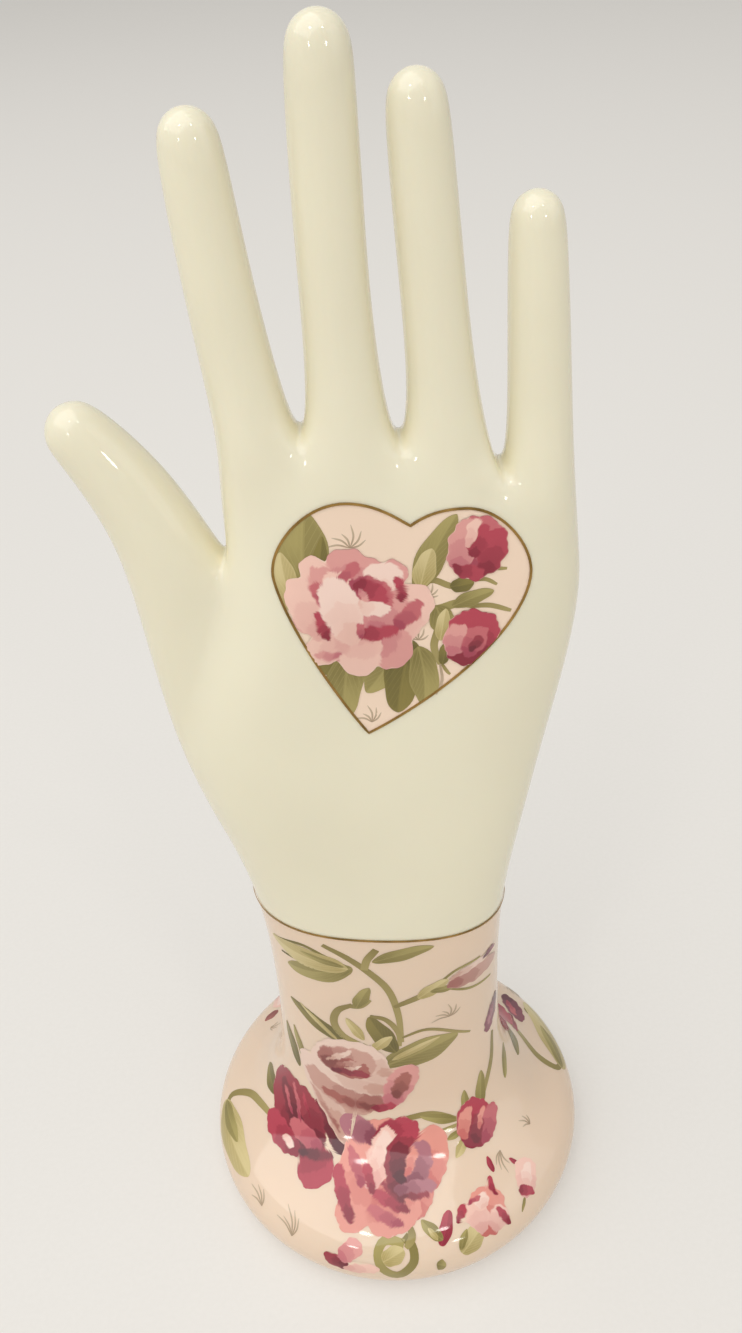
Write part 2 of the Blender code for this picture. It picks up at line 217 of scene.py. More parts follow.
PALE = Paint(linear("F0C2B4"), linear("FBDCCF"))
BLUSH = Paint(linear("E8AFA5"), linear("F7CBBC"))
PINK = Paint(linear("C9747C"), linear("E3A09A"))
CORAL = Paint(linear("CF6E68"), linear("E99B8D"))
ROSE = Paint(linear("A83F54"), linear("C9686F"))
RUBY = Paint(linear("8E1C34"), linear("B83E51"))
CRIMSON = Paint(linear("731A2C"), linear("9C3342"))
WINE = Paint(linear("541323"), linear("7C2735"))
MAUVE = Paint(linear("874152"), linear("B57580"))
PLUM = Paint(linear("64293A"), linear("8F4A5A"))
BRICK = Paint(linear("84403C"), linear("AD655C"))
DUSTY = Paint(linear("A8685F"), linear("D0A294"))
DUSTY_PALE = Paint(linear("D0A393"), linear("EFD3C4"))
OLIVE = Paint(linear("817439"), linear("B0A262"))
MOSS = Paint(linear("655B24"), linear("8D7F3C"))
STRAW = Paint(linear("AF9C5C"), linear("DCCB95"))
STEM = Paint(linear("8B7C42"), linear("AB9B60"))
SKETCH = Paint(linear("B0977C"), linear("CDB79C"))


# Nodes and finishes


def add(tree, kind, settings=(), links=()):
    """Adds a node, with its settings by name and its inputs by name or number."""
    node = tree.nodes.new(kind)
    for name, value in dict(settings).items():
        setattr(node, name, value)
    for name, value in dict(links).items():
        socket = node.inputs[name]
        if isinstance(value, bpy.types.NodeSocket):
            tree.links.new(value, socket)
        else:
            socket.default_value = value
    return node


def new_finish(name):
    """A new material, its nodes, its shader and the place on the piece."""
    material = bpy.data.materials.new(name)
    material.use_nodes = True
    tree = material.node_tree
    return material, tree, tree.nodes["Principled BSDF"], add(tree, "ShaderNodeTexCoord").outputs["Object"]


def noise_scale(size):
    """The scale of a noise whose pattern is so many mm across."""
    return 1.0 / (size * MM)


def clear_glaze(name):
    """A finish under clear fired glaze: wet-looking, with the faint ripple that a dipped glaze keeps."""
    material, tree, shader, place = new_finish(name)
    shader.inputs["Roughness"].default_value = GLAZE_ROUGHNESS
    shader.inputs["IOR"].default_value = GLAZE_IOR
    under = {}
    for size, detail, depth in RIPPLES:
        wave = add(
            tree, "ShaderNodeTexNoise", {}, {"Vector": place, "Scale": noise_scale(size), "Detail": detail}
        )
        height = {"Height": wave.outputs["Fac"], "Strength": RIPPLE_STRENGTH, "Distance": depth * MM}
        under = {"Normal": add(tree, "ShaderNodeBump", {}, {**height, **under}).outputs["Normal"]}
    tree.links.new(under["Normal"], shader.inputs["Normal"])
    return material, tree, shader, place


def porcelain_glaze():
    """Ivory porcelain under clear glaze: cream ground below the gilt line, bare clay at the seat."""
    material, tree, shader, place = clear_glaze("ivory_porcelain_glaze")
    slopes = (-WRIST_LINE_SLOPE_RIGHT, -WRIST_LINE_SLOPE_AWAY, 1.0)
    height = add(tree, "ShaderNodeVectorMath", {"operation": "DOT_PRODUCT"}, {0: place, 1: slopes})
    line = (WRIST_LINE_HEIGHT - WRIST_LINE_SLOPE_RIGHT * FOOT_AXIS_X) * MM
    below = add(tree, "ShaderNodeMath", {"operation": "LESS_THAN"}, {0: height.outputs["Value"], 1: line})
    drift = add(
        tree, "ShaderNodeTexNoise", {}, {"Vector": place, "Scale": noise_scale(TONE_DRIFT), "Detail": 2.0}
    )
    low, high = TONES
    tone = add(
        tree,
        "ShaderNodeMapRange",
        {},
        {"Value": drift.outputs["Fac"], "From Min": 0.3, "From Max": 0.7, "To Min": low, "To Max": high},
    )
    ground = add(
        tree,
        "ShaderNodeMix",
        {"data_type": "RGBA"},
        {"Factor": below.outputs[0], "A": IVORY, "B": CREAM_GROUND},
    )
    varied = add(
        tree,
        "ShaderNodeVectorMath",
        {"operation": "SCALE"},
        {0: ground.outputs["Result"], "Scale": tone.outputs[0]},
    )
    up = add(tree, "ShaderNodeSeparateXYZ", {}, {0: place})
    seat = add(tree, "ShaderNodeMath", {"operation": "LESS_THAN"}, {0: up.outputs["Z"], 1: SEAT_HEIGHT * MM})
    coat = add(
        tree,
        "ShaderNodeMix",
        {"data_type": "RGBA"},
        {"Factor": seat.outputs[0], "A": varied.outputs[0], "B": BARE_CLAY},
    )
    tree.links.new(coat.outputs["Result"], shader.inputs["Base Color"])
    rough = add(
        tree,
        "ShaderNodeMapRange",
        {},
        {"Value": seat.outputs[0], "To Min": GLAZE_ROUGHNESS, "To Max": BARE_ROUGHNESS},
    )
    tree.links.new(rough.outputs[0], shader.inputs["Roughness"])
    shader.inputs["Subsurface Weight"].default_value = GLOW
    shader.inputs["Subsurface Radius"].default_value = [depth * MM for depth in GLOW_DEPTHS]
    shader.inputs["Subsurface Scale"].default_value = 1.0
    return material


def veined(tree, across, along, colour, deep, pale):
    """A leaf's colour with one half in shade and pale lines for its spine and ribs."""
    centre = add(tree, "ShaderNodeMath", {"operation": "SUBTRACT"}, {0: across, 1: 0.5}).outputs[0]
    side = add(tree, "ShaderNodeMath", {"operation": "ABSOLUTE"}, {0: centre}).outputs[0]
    right = add(tree, "ShaderNodeMath", {"operation": "GREATER_THAN"}, {0: centre, 1: 0.0}).outputs[0]
    half = add(tree, "ShaderNodeMath", {"operation": "MULTIPLY"}, {0: right, 1: HALF_SHADE}).outputs[0]
    shaded = add(tree, "ShaderNodeMix", {"data_type": "RGBA"}, {"Factor": half, "A": colour, "B": deep})
    lean = {0: side, 1: RIB_SLANT, 2: along}
    slant = add(tree, "ShaderNodeMath", {"operation": "MULTIPLY_ADD"}, lean).outputs[0]
    ribs = add(tree, "ShaderNodeMath", {"operation": "MULTIPLY"}, {0: slant, 1: RIBS}).outputs[0]
    saw = add(tree, "ShaderNodeMath", {"operation": "FRACT"}, {0: ribs}).outputs[0]
    rib = add(tree, "ShaderNodeMath", {"operation": "LESS_THAN"}, {0: saw, 1: RIB_WIDTH}).outputs[0]
    spine = add(tree, "ShaderNodeMath", {"operation": "LESS_THAN"}, {0: side, 1: SPINE_WIDTH}).outputs[0]
    lines = add(tree, "ShaderNodeMath", {"operation": "MAXIMUM"}, {0: rib, 1: spine}).outputs[0]
    faint = add(tree, "ShaderNodeMath", {"operation": "MULTIPLY"}, {0: lines, 1: VEIN_TONE}).outputs[0]
    lined = {"Factor": faint, "A": shaded.outputs["Result"], "B": pale}
    return add(tree, "ShaderNodeMix", {"data_type": "RGBA"}, lined).outputs["Result"]


def washed_paint(name, pale_from, pale_to, vein=False):
    """Overglaze enamel in washes: deep where a stroke starts, pale where it ends, with a light rim."""
    material, tree, shader, place = clear_glaze(name)
    deep = add(tree, "ShaderNodeAttribute", {"attribute_name": "deep"}).outputs["Color"]
    pale = add(tree, "ShaderNodeAttribute", {"attribute_name": "pale"}).outputs["Color"]
    rim = add(tree, "ShaderNodeAttribute", {"attribute_name": "rim"}).outputs["Fac"]
    uv = add(tree, "ShaderNodeUVMap", {"uv_map": "stroke"}).outputs["UV"]
    parts = add(tree, "ShaderNodeSeparateXYZ", {}, {0: uv})
    along = parts.outputs["Y"]
    streaks = add(tree, "ShaderNodeMapping", {}, {"Vector": uv, "Scale": STREAKS}).outputs["Vector"]
    brush = add(tree, "ShaderNodeTexNoise", {}, {"Vector": streaks, "Scale": 1.0, "Detail": 2.0})
    cloud = add(
        tree, "ShaderNodeTexNoise", {}, {"Vector": place, "Scale": noise_scale(ENAMEL_CLOUD), "Detail": 2.0}
    )
    mottled = along
    for noise, share in ((brush, STREAK_SHARE), (cloud, CLOUD_SHARE)):
        parts_added = {0: noise.outputs["Fac"], 1: share, 2: mottled}
        mottled = add(tree, "ShaderNodeMath", {"operation": "MULTIPLY_ADD"}, parts_added).outputs[0]
    fade = add(
        tree,
        "ShaderNodeMapRange",
        {"interpolation_type": "SMOOTHSTEP"},
        {"Value": mottled, "From Min": pale_from, "From Max": pale_to},
    )
    ends = {"Factor": fade.outputs[0], "A": deep, "B": pale}
    colour = add(tree, "ShaderNodeMix", {"data_type": "RGBA"}, ends).outputs["Result"]
    if vein:
        colour = veined(tree, parts.outputs["X"], along, colour, deep, pale)
    edge = add(
        tree,
        "ShaderNodeMapRange",
        {},
        {"Value": rim, "From Min": ENAMEL_RIM, "From Max": 1.0, "To Min": 0.0, "To Max": ENAMEL_RIM_TONE},
    )
    rimmed = add(
        tree, "ShaderNodeMix", {"data_type": "RGBA"}, {"Factor": edge.outputs[0], "A": colour, "B": pale}
    )
    tree.links.new(rimmed.outputs["Result"], shader.inputs["Base Color"])
    return material


def fired_gilt():
    """Liquid bright gold, brushed on thin and fired: dark bronze that flashes where it faces a lamp."""
    material, tree, shader, place = new_finish("fired_liquid_gold")
    shader.inputs["Metallic"].default_value = 1.0
    wear = add(
        tree, "ShaderNodeTexNoise", {}, {"Vector": place, "Scale": noise_scale(GILT_WEAR), "Detail": 3.0}
    ).outputs["Fac"]
    tint = add(tree, "ShaderNodeMix", {"data_type": "RGBA"}, {"Factor": wear, "A": GILT_DARK, "B": GILT})
    tree.links.new(tint.outputs["Result"], shader.inputs["Base Color"])
    bright, worn = GILT_ROUGHNESS
    rough = add(tree, "ShaderNodeMapRange", {}, {"Value": wear, "To Min": bright, "To Max": worn})
    tree.links.new(rough.outputs[0], shader.inputs["Roughness"])
    return material


def seen_straight(tree):
    """One for what the camera sees, straight or in a gloss, and none for the light on the hand."""
    path = add(tree, "ShaderNodeLightPath")
    return add(
        tree,
        "ShaderNodeMath",
        {"operation": "MAXIMUM"},
        {0: path.outputs["Is Camera Ray"], 1: path.outputs["Is Glossy Ray"]},
    ).outputs[0]


def plain_paper():
    """The studio floor: matt pale paper, which the camera sees a little paler than it lights the hand."""
    material, tree, shader, place = new_finish("pale_studio_paper")
    shader.inputs["Roughness"].default_value = PAPER_ROUGHNESS
    shader.inputs["Specular IOR Level"].default_value = PAPER_SHINE
    grain = add(
        tree, "ShaderNodeTexNoise", {}, {"Vector": place, "Scale": noise_scale(PAPER_GRAIN), "Detail": 2.0}
    )
    tint = add(
        tree,
        "ShaderNodeMix",
        {"data_type": "RGBA"},
        {"Factor": grain.outputs["Fac"], "A": PAPER_DARK, "B": PAPER_PALE},
    )
    tree.links.new(tint.outputs["Result"], shader.inputs["Base Color"])
    seen = add(tree, "ShaderNodeMath", {"operation": "MULTIPLY"}, {0: seen_straight(tree), 1: FLOOR_VEIL})
    veil = add(tree, "ShaderNodeEmission", {}, {"Color": PAPER_SEEN})
    both = add(
        tree,
        "ShaderNodeMixShader",
        {},
        {0: seen.outputs[0], 1: shader.outputs["BSDF"], 2: veil.outputs["Emission"]},
    )
    tree.links.new(both.outputs["Shader"], tree.nodes["Material Output"].inputs["Surface"])
    return material


# Selecting and finishing


def only(*objects):
    """Selects these objects and nothing else, with the first one active."""
    bpy.ops.object.select_all(action="DESELECT")
    for obj in objects:
        obj.select_set(True)
    bpy.context.view_layer.objects.active = objects[0]


def apply_modifier(obj, name):
    """Applies one modifier of an object."""
    only(obj)
    bpy.ops.object.modifier_apply(modifier=name)


def thicken(piece):
    """Gives an open film its thickness, inwards from its face."""
    wall = piece.modifiers.new("wall", "SOLIDIFY")
    wall.thickness = FILM_THICKNESS * MM
    wall.offset = -1.0
    apply_modifier(piece, "wall")


def finish_piece(piece, material):
    """Gives a piece its finish and its body."""
    piece.data.materials.clear()
    piece.data.materials.append(material)
    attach(piece, BODY)


# The cast body


def cast_body():
    """The body of the hand: the frame's facets, welded into squares and rounded through their corners.

    Rounding draws corners in, so each corner is first moved out by as much, save those at the seat.
    """
    node = frame["nodes"][NODE]
    hand = bpy.data.objects.new("glazed_hand", node.data.copy())
    bpy.context.scene.collection.objects.link(hand)
    only(hand)
    bpy.ops.object.mode_set(mode="EDIT")
    bpy.ops.mesh.select_all(action="SELECT")
    bpy.ops.mesh.remove_doubles(threshold=WELD * MM)
    bpy.ops.mesh.tris_convert_to_quads(
        face_threshold=math.radians(SQUARE_ANGLE), shape_threshold=math.radians(SQUARE_ANGLE)
    )
    bpy.ops.object.mode_set(mode="OBJECT")
    bpy.ops.object.shade_smooth()
    rounding = hand.modifiers.new("rounding", "SUBSURF")
    rounding.levels = 1
    graph = bpy.context.evaluated_depsgraph_get()
    rounded = hand.evaluated_get(graph).to_mesh()
    for vert in hand.data.vertices:
        if vert.co.z > SEAT_EDGE * MM:
            vert.co += vert.co - rounded.vertices[vert.index].co
    rounding.levels = rounding.render_levels = ROUNDING
    apply_modifier(hand, "rounding")
    finish_piece(hand, porcelain_glaze())
    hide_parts(NODE)
    return hand


# The photograph's view


EYE = Vector((EYE_RIGHT + FOOT_AXIS_X, EYE_AWAY, EYE_HEIGHT)) * MM


def camera_turn():
    """How the camera is turned from looking straight down."""
    raised = Matrix.Rotation(math.radians(90.0 - LOOKS_DOWN), 3, "X")
    return raised @ Matrix.Rotation(math.radians(LEANS), 3, "Z")


def photo_ray(pixel):
    """The direction from the camera through a pixel of the photograph."""
    right, up, back = camera_turn().col
    across = (pixel[0] - PHOTO_WIDTH / 2) / FOCAL_PIXELS
    down = (pixel[1] - PHOTO_HEIGHT / 2) / FOCAL_PIXELS
    return -back + right * across - up * down


def add_camera():
    """The camera at the photograph's place and angle."""
    data = bpy.data.cameras.new("photo_camera")
    data.sensor_width = SENSOR
    data.lens = FOCAL_PIXELS * SENSOR / PHOTO_HEIGHT
    data.clip_start = 10.0 * MM
    camera = bpy.data.objects.new("photo_camera", data)
    camera.location = EYE
    camera.rotation_euler = camera_turn().to_euler()
    bpy.context.scene.collection.objects.link(camera)
    bpy.context.scene.camera = camera


# Laying shapes on the body


class Skin:
    """The body's surface, to lay films on, with its smooth normals."""

    def __init__(self, hand):
        self.mesh = hand.data
        self.tree = BVHTree.FromPolygons(
            [vert.co for vert in self.mesh.vertices], [face.vertices for face in self.mesh.polygons]
        )

    def meet(self, start, direction, reach=REACH * MM):
        """Where a ray meets the body, or else the place nearest its end, and the smooth normal there."""
        spot, _, face, _ = self.tree.ray_cast(start, direction)
        if spot is None:
            spot, _, face, _ = self.tree.find_nearest(start + direction.normalized() * reach)
        corners = [self.mesh.vertices[i] for i in self.mesh.polygons[face].vertices]
        weights = poly_3d_calc([corner.co for corner in corners], spot)
        normal = Vector()
        for corner, weight in zip(corners, weights):
            normal += corner.normal * weight
        return spot, normal.normalized()


class Sheet:
    """A flat sheet that touches the body at one spot, on which a motif is drawn before it is laid down."""

    def __init__(self, skin, start, direction):
        self.skin = skin
        self.spot, self.normal = skin.meet(start, direction)
        self.across = Vector((0.0, 0.0, 1.0)).cross(self.normal).normalized()
        self.up = self.normal.cross(self.across)

    def flat(self, pixel):
        """The place on the sheet, in mm, over the point of the body that a pixel of the photograph shows."""
        point = self.skin.meet(EYE, photo_ray(pixel), (self.spot - EYE).length)[0] - self.spot
        return Vector((point.dot(self.across), point.dot(self.up))) / MM

    def lay(self, place, lift):
        """The point of the body under a place on the sheet, lifted off it, and the normal there."""
        start = self.spot + (self.across * place[0] + self.up * place[1] + self.normal * REACH) * MM
        spot, normal = self.skin.meet(start, -self.normal)
        return spot + normal * (lift * MM), normal

    def fitted(self, drawn):
        """The drawing as it is, because nothing cuts it."""
        return drawn

    def turned(self, degrees):
        """A sheet like this one, so many degrees further round the foot's axis."""
        turn = Matrix.Rotation(math.radians(degrees), 3, "Z")
        axis = Vector((SEAT.x, 0.0, 0.0))
        normal = turn @ self.normal
        return Sheet(self.skin, turn @ (self.spot - axis) + axis + normal * (REACH * MM), -normal)


# Flat blanks and the films made of them


def round_blank(rings, points):
    """A flat round blank with rings, for petals, leaves, flowers and grounds."""
    bpy.ops.object.select_all(action="DESELECT")
    bpy.ops.mesh.primitive_circle_add(vertices=points, radius=1.0, fill_type="NGON")
    blank = bpy.context.object
    bpy.ops.object.mode_set(mode="EDIT")
    bpy.ops.mesh.select_all(action="SELECT")
    for _ in range(rings - 1):
        bpy.ops.mesh.inset(thickness=math.cos(math.pi / points) / rings)
    bpy.ops.mesh.poke()
    bpy.ops.object.mode_set(mode="OBJECT")
    return blank


def strip_blank():
    """A flat strip blank, for stems and brush lines."""
    bpy.ops.object.select_all(action="DESELECT")
    bpy.ops.mesh.primitive_grid_add(x_subdivisions=2, y_subdivisions=STRIP_STEPS, size=2.0)
    return bpy.context.object


class Blanks:
    """The flat blanks that the printed shapes are copies of."""

    def __init__(self):
        self.leaf = round_blank(*LEAF_BLANK)
        self.bud = round_blank(*BUD_BLANK)
        self.flower = round_blank(*FLOWER_BLANK)
        self.ground = round_blank(*GROUND_BLANK)
        self.strip = strip_blank()

    def clear(self):
        """Takes the blanks out of the scene when every copy is made."""
        for blank in vars(self).values():
            bpy.data.objects.remove(blank)


class Film:
    """A family of printed shapes that becomes one thin piece."""

    def __init__(self, name, material):
        self.name = name
        self.material = material
        self.shapes = []

    def print_shape(self, sheet, blank, drawn, order, paints):
        """Lays a copy of a blank: drawn gives each point's place in mm, its stroke place and its rim.

        paints gives the deep and pale colours of all the places at once.
        """
        shape = bpy.data.objects.new(self.name, blank.data.copy())
        bpy.context.scene.collection.objects.link(shape)
        mesh = shape.data
        while mesh.uv_layers:
            mesh.uv_layers.remove(mesh.uv_layers[0])
        mesh.uv_layers.new(name="stroke")
        for name, kind in PRINT_NOTES.items():
            mesh.attributes.new(name, kind, "POINT")
        deep, pale, rim, shine = (mesh.attributes[name] for name in PRINT_NOTES)
        stroke = mesh.uv_layers["stroke"]
        lift = FIRST_LIFT + LIFT_STEP * order
        drawing = [drawn(vert.co.x, vert.co.y) for vert in mesh.vertices]
        stroke_places = [stroke_place for _, stroke_place, _ in drawing]
        for vert, (place, _, edge) in zip(mesh.vertices, drawing):
            vert.co, normal = sheet.lay(place, lift)
            rim.data[vert.index].value = edge
            shine.data[vert.index].vector = normal
        places = np.array([[place[0], place[1]] for place, _, _ in drawing])
        for note, colours in zip((deep, pale), paints(places)):
            note.data.foreach_set("color", colours.astype(np.float32).ravel())
        for loop in mesh.loops:
            stroke.data[loop.index].uv = stroke_places[loop.vertex_index]
        if sum(face.normal.dot(shine.data[face.vertices[0]].vector) for face in mesh.polygons) < 0.0:
            mesh.flip_normals()
        self.shapes.append(shape)

    def fire(self):
        """Joins the shapes into one thin closed film that shines like the glaze round it."""
        only(*self.shapes)
        if len(self.shapes) > 1:
            bpy.ops.object.join()
        film = bpy.context.object
        film.name = self.name
        film.data.name = self.name
        thicken(film)
        bpy.ops.object.shade_smooth()
        normals = [item.vector.copy() for item in film.data.attributes["shine"].data]
        film.data.normals_split_custom_set_from_vertices(normals)
        finish_piece(film, self.material)
        return film


# Strokes


def even_paint(paint):
    """The same two tones at every place."""
    return lambda places: (np.tile(paint.deep, (len(places), 1)), np.tile(paint.pale, (len(places), 1)))


class Cut(NamedTuple):
    """The outline of a petal or leaf: its size, how pointed it is, where it is widest and how it curls."""

    length: float
    width: float
    point: float = 1.0
    belly: float = 0.0
    curl: float = 0.0


def cut_between(start, end, stroke):
    """The turn and outline of a stroke that bends on its way between two flat places."""
    reach = end - start
    bend = math.radians(stroke.curl) / 2.0
    length = reach.length * (bend / math.sin(bend) if bend else 1.0)
    turn = math.degrees(math.atan2(-reach.x, reach.y) + bend)
    return turn, Cut(length, stroke.width, stroke.point, stroke.belly, stroke.curl)


def curled(along, across, length, curl):
    """Bends a straight shape sideways by so many degrees from base to tip."""
    bend = math.radians(curl) / length
    if abs(bend) < 1e-6:
        return across, along
    turn = bend * along
    reach = 1.0 / bend
    return reach * (1.0 - math.cos(turn)) + across * math.cos(turn), (reach - across) * math.sin(turn)


def cut_shape(base, turn, cut):
    """The drawing of a cut shape from its base, with its tip turned so many degrees from straight up."""
    c, s = math.cos(math.radians(turn)), math.sin(math.radians(turn))

    def drawn(x, y):
        radius = math.hypot(x, y)
        angle = math.atan2(x, -y)
        side = math.copysign(abs(math.sin(angle)) ** cut.point, math.sin(angle))
        waver = 1.0 + LEAF_WAVER * math.sin(LEAF_LOBES * angle + cut.length)
        across = side * (1.0 - cut.belly * math.cos(angle)) * waver * cut.width / 2.0 * radius
        along = cut.length / 2.0 * (1.0 - math.cos(angle) * radius)
        stroke_place = (0.5 + across / cut.width, along / cut.length)
        a, b = curled(along, across, cut.length, cut.curl)
        return (base[0] + a * c - b * s, base[1] + a * s + b * c), stroke_place, radius

    return drawn


def line_shape(route, width, taper):
    """The drawing of a brush line along a route of flat places."""
    lengths = [0.0]
    for a, b in zip(route, route[1:]):
        lengths.append(lengths[-1] + (b - a).length)

    def drawn(x, y):
        along = (y + 1.0) / 2.0
        wanted = along * lengths[-1]
        k = 0
        while k < len(route) - 2 and lengths[k + 1] < wanted:
            k += 1
        share = (wanted - lengths[k]) / max(lengths[k + 1] - lengths[k], 1e-9)
        middle = route[k].lerp(route[k + 1], share)
        before, after = route[max(k - 1, 0)], route[min(k + 2, len(route) - 1)]
        ahead = (after - before).normalized()
        thick = width / 2.0 * (1.0 - taper * abs(2.0 * along - 1.0) ** TAPER_POWER)
        return middle + Vector((ahead.y, -ahead.x)) * (x * thick), (0.5 + x / 2.0, along), abs(x)

    return drawn


def smooth_route(points, steps=8):
    """A smooth curve through a few flat places."""
    padded = [points[0] * 2 - points[1], *points, points[-1] * 2 - points[-2]]
    route = []
    for a, b, c, d in zip(padded, padded[1:], padded[2:], padded[3:]):
        for k in range(steps):
            t = k / steps
            square, cube = 2 * a - 5 * b + 4 * c - d, 3 * b - a - 3 * c + d
            route.append(0.5 * ((2 * b) + (c - a) * t + square * t**2 + cube * t**3))
    route.append(points[-1])
    return route


# Painted flowers


class Petal(NamedTuple):
    """One petal of a painted flower: where it starts, how far it is turned, its outline and its paint."""

    base: Vector
    turn: float
    cut: Cut
    paint: Paint


def wavered(places):
    """Flat places moved a little to and fro, as a brush wavers along an edge."""
    x, y = places[:, 0], places[:, 1]
    return np.column_stack(
        (
            x + WAVER * (np.sin(1.7 * y + 0.9 * x) + 0.6 * np.sin(3.9 * y - 2.3 * x)),
            y + WAVER * (np.sin(1.9 * x - 0.7 * y) + 0.6 * np.sin(3.5 * x + 2.7 * y)),
        )
    )


def petal_cover(petal, places):
    """How far each flat place is covered by a petal, and where along and across the petal it lies."""
    c, s = math.cos(math.radians(petal.turn)), math.sin(math.radians(petal.turn))
    places = wavered(places)
    dx, dy = places[:, 0] - petal.base[0], places[:, 1] - petal.base[1]
    a, b = dx * c + dy * s, -dx * s + dy * c
    cut = petal.cut
    bend = math.radians(cut.curl) / cut.length
    if abs(bend) > 1e-6:
        reach = 1.0 / bend
        turn = np.arctan2(b * np.sign(reach), (reach - a) * np.sign(reach))
        across, along = reach - np.sign(reach) * np.hypot(reach - a, b), turn / bend
    else:
        across, along = a, b
    share = along / cut.length
    cosine = np.clip(1.0 - 2.0 * share, -1.0, 1.0)
    half = cut.width / 2.0 * np.sqrt(1.0 - cosine**2) ** cut.point * (1.0 - cut.belly * cosine)
    half = np.where((share > 0.0) & (share < 1.0), half, 0.0)
    inside = np.clip((half - np.abs(across)) / EDGE_BLUR + 0.5, 0.0, 1.0) * (half > 0.0)
    return inside, np.clip(share, 0.0, 1.0), np.abs(across) / np.maximum(half, 1e-6)


def petal_colour(petal, share, side):
    """The colour over a petal: washes from deep at its base to pale at its tip, with a light rim."""
    tone = np.clip((share - WASH_START) / WASH_LENGTH + SIDE_LIGHT * (side - 0.5), 0.0, 1.0)
    wash = np.floor(tone * WASHES + 0.5) / WASHES
    tone = tone + (wash - tone) * WASH_EDGE
    rim = np.clip((side - RIM_START) / (1.0 - RIM_START), 0.0, 1.0)
    tone = np.clip(tone + RIM_LIGHT * rim, 0.0, 1.0)
    deep, pale = np.array(petal.paint.deep), np.array(petal.paint.pale)
    return deep + (pale - deep) * tone[:, None]


class Flower:
    """A flower painted petal over petal on a sheet, then cut out along its own outline."""

    def __init__(self, petals, ends, ground):
        self.petals = petals
        self.ground = ground
        self.middle = sum(ends, Vector((0.0, 0.0))) / len(ends)
        widest = max(petal.cut.width for petal in petals)
        self.reach = max((end - self.middle).length for end in ends) + widest / 2.0

    def outline(self, points):
        """How far the outermost petal reaches from the middle, at even steps round it."""
        steps = np.linspace(0.0, 1.0, OUTLINE_STEPS)
        reaches = []
        for k in range(points):
            angle = 2.0 * math.pi * k / points
            ray = np.array([math.cos(angle), math.sin(angle)])
            places = np.array(self.middle) + steps[:, None] * self.reach * ray
            covered = np.zeros(len(steps), bool)
            for petal in self.petals:
                covered |= petal_cover(petal, places)[0] > LEAST_COVER
            share = steps[np.where(covered)[0].max()] if covered.any() else LEAST_REACH
            reaches.append(share * self.reach)
        smooth = np.array(reaches)
        return (np.roll(smooth, 1) + 2.0 * smooth + np.roll(smooth, -1)) / 4.0

    def shape(self, points):
        """The drawing of the flower's outline from the round blank."""
        reaches = self.outline(points)

        def drawn(x, y):
            radius = math.hypot(x, y)
            turn = math.atan2(y, x) / (2.0 * math.pi) * points % points
            k = int(turn)
            reach = reaches[k % points] + (reaches[(k + 1) % points] - reaches[k % points]) * (turn - k)
            ray = Vector((x, y)) / radius if radius > 1e-9 else Vector((0.0, 0.0))
            return self.middle + ray * (radius * reach), (0.5 + x / 2.0, 0.5 + y / 2.0), 0.0

        return drawn

    def colours(self, places):
        """The colour of the topmost petal at each flat place, as the brush leaves it thick and thin."""
        colours = np.tile(np.array(self.ground), (len(places), 1))
        for petal in self.petals:
            inside, share, side = petal_cover(petal, places)
            colours += (petal_colour(petal, share, side) - colours) * inside[:, None]
        return [colours * (tone, tone, tone, 1.0) for tone in BRUSH_TONES]


def heading(turn):
    """The flat direction that is turned so many degrees from straight up."""
    return Vector((-math.sin(math.radians(turn)), math.cos(math.radians(turn))))


# Motifs


class Dab(NamedTuple):
    """A brush stroke of a flower, from pixel to pixel, with its width in mm; it is deep at its base."""

    base: tuple
    tip: tuple
    width: float
    paint: Paint
    curl: float = 0.0
    point: float = 0.9
    belly: float = 0.1


class Blade(NamedTuple):
    """A leaf or sepal from pixel to pixel, with its width in mm."""

    base: tuple
    tip: tuple
    width: float
    paint: Paint = OLIVE
    curl: float = 0.0
    point: float = 1.3
    belly: float = -0.12


class Line(NamedTuple):
    """A stem or pen line through pixels, with its width in mm."""

    pixels: tuple
    width: float
    paint: Paint = STEM
    taper: float = 0.4


class Sprig(NamedTuple):
    """A faint fan of pen strokes: its foot, length in mm, number of strokes, heading and opening angle."""

    foot: tuple
    length: float
    strokes: int
    turn: float
    opens: float


class Spray(NamedTuple):
    """A part of the print that is drawn on one sheet: lines and leaves first, flowers over them."""

    spot: tuple
    order: int
    lines: tuple = ()
    blades: tuple = ()
    flowers: tuple = ()
    sprigs: tuple = ()


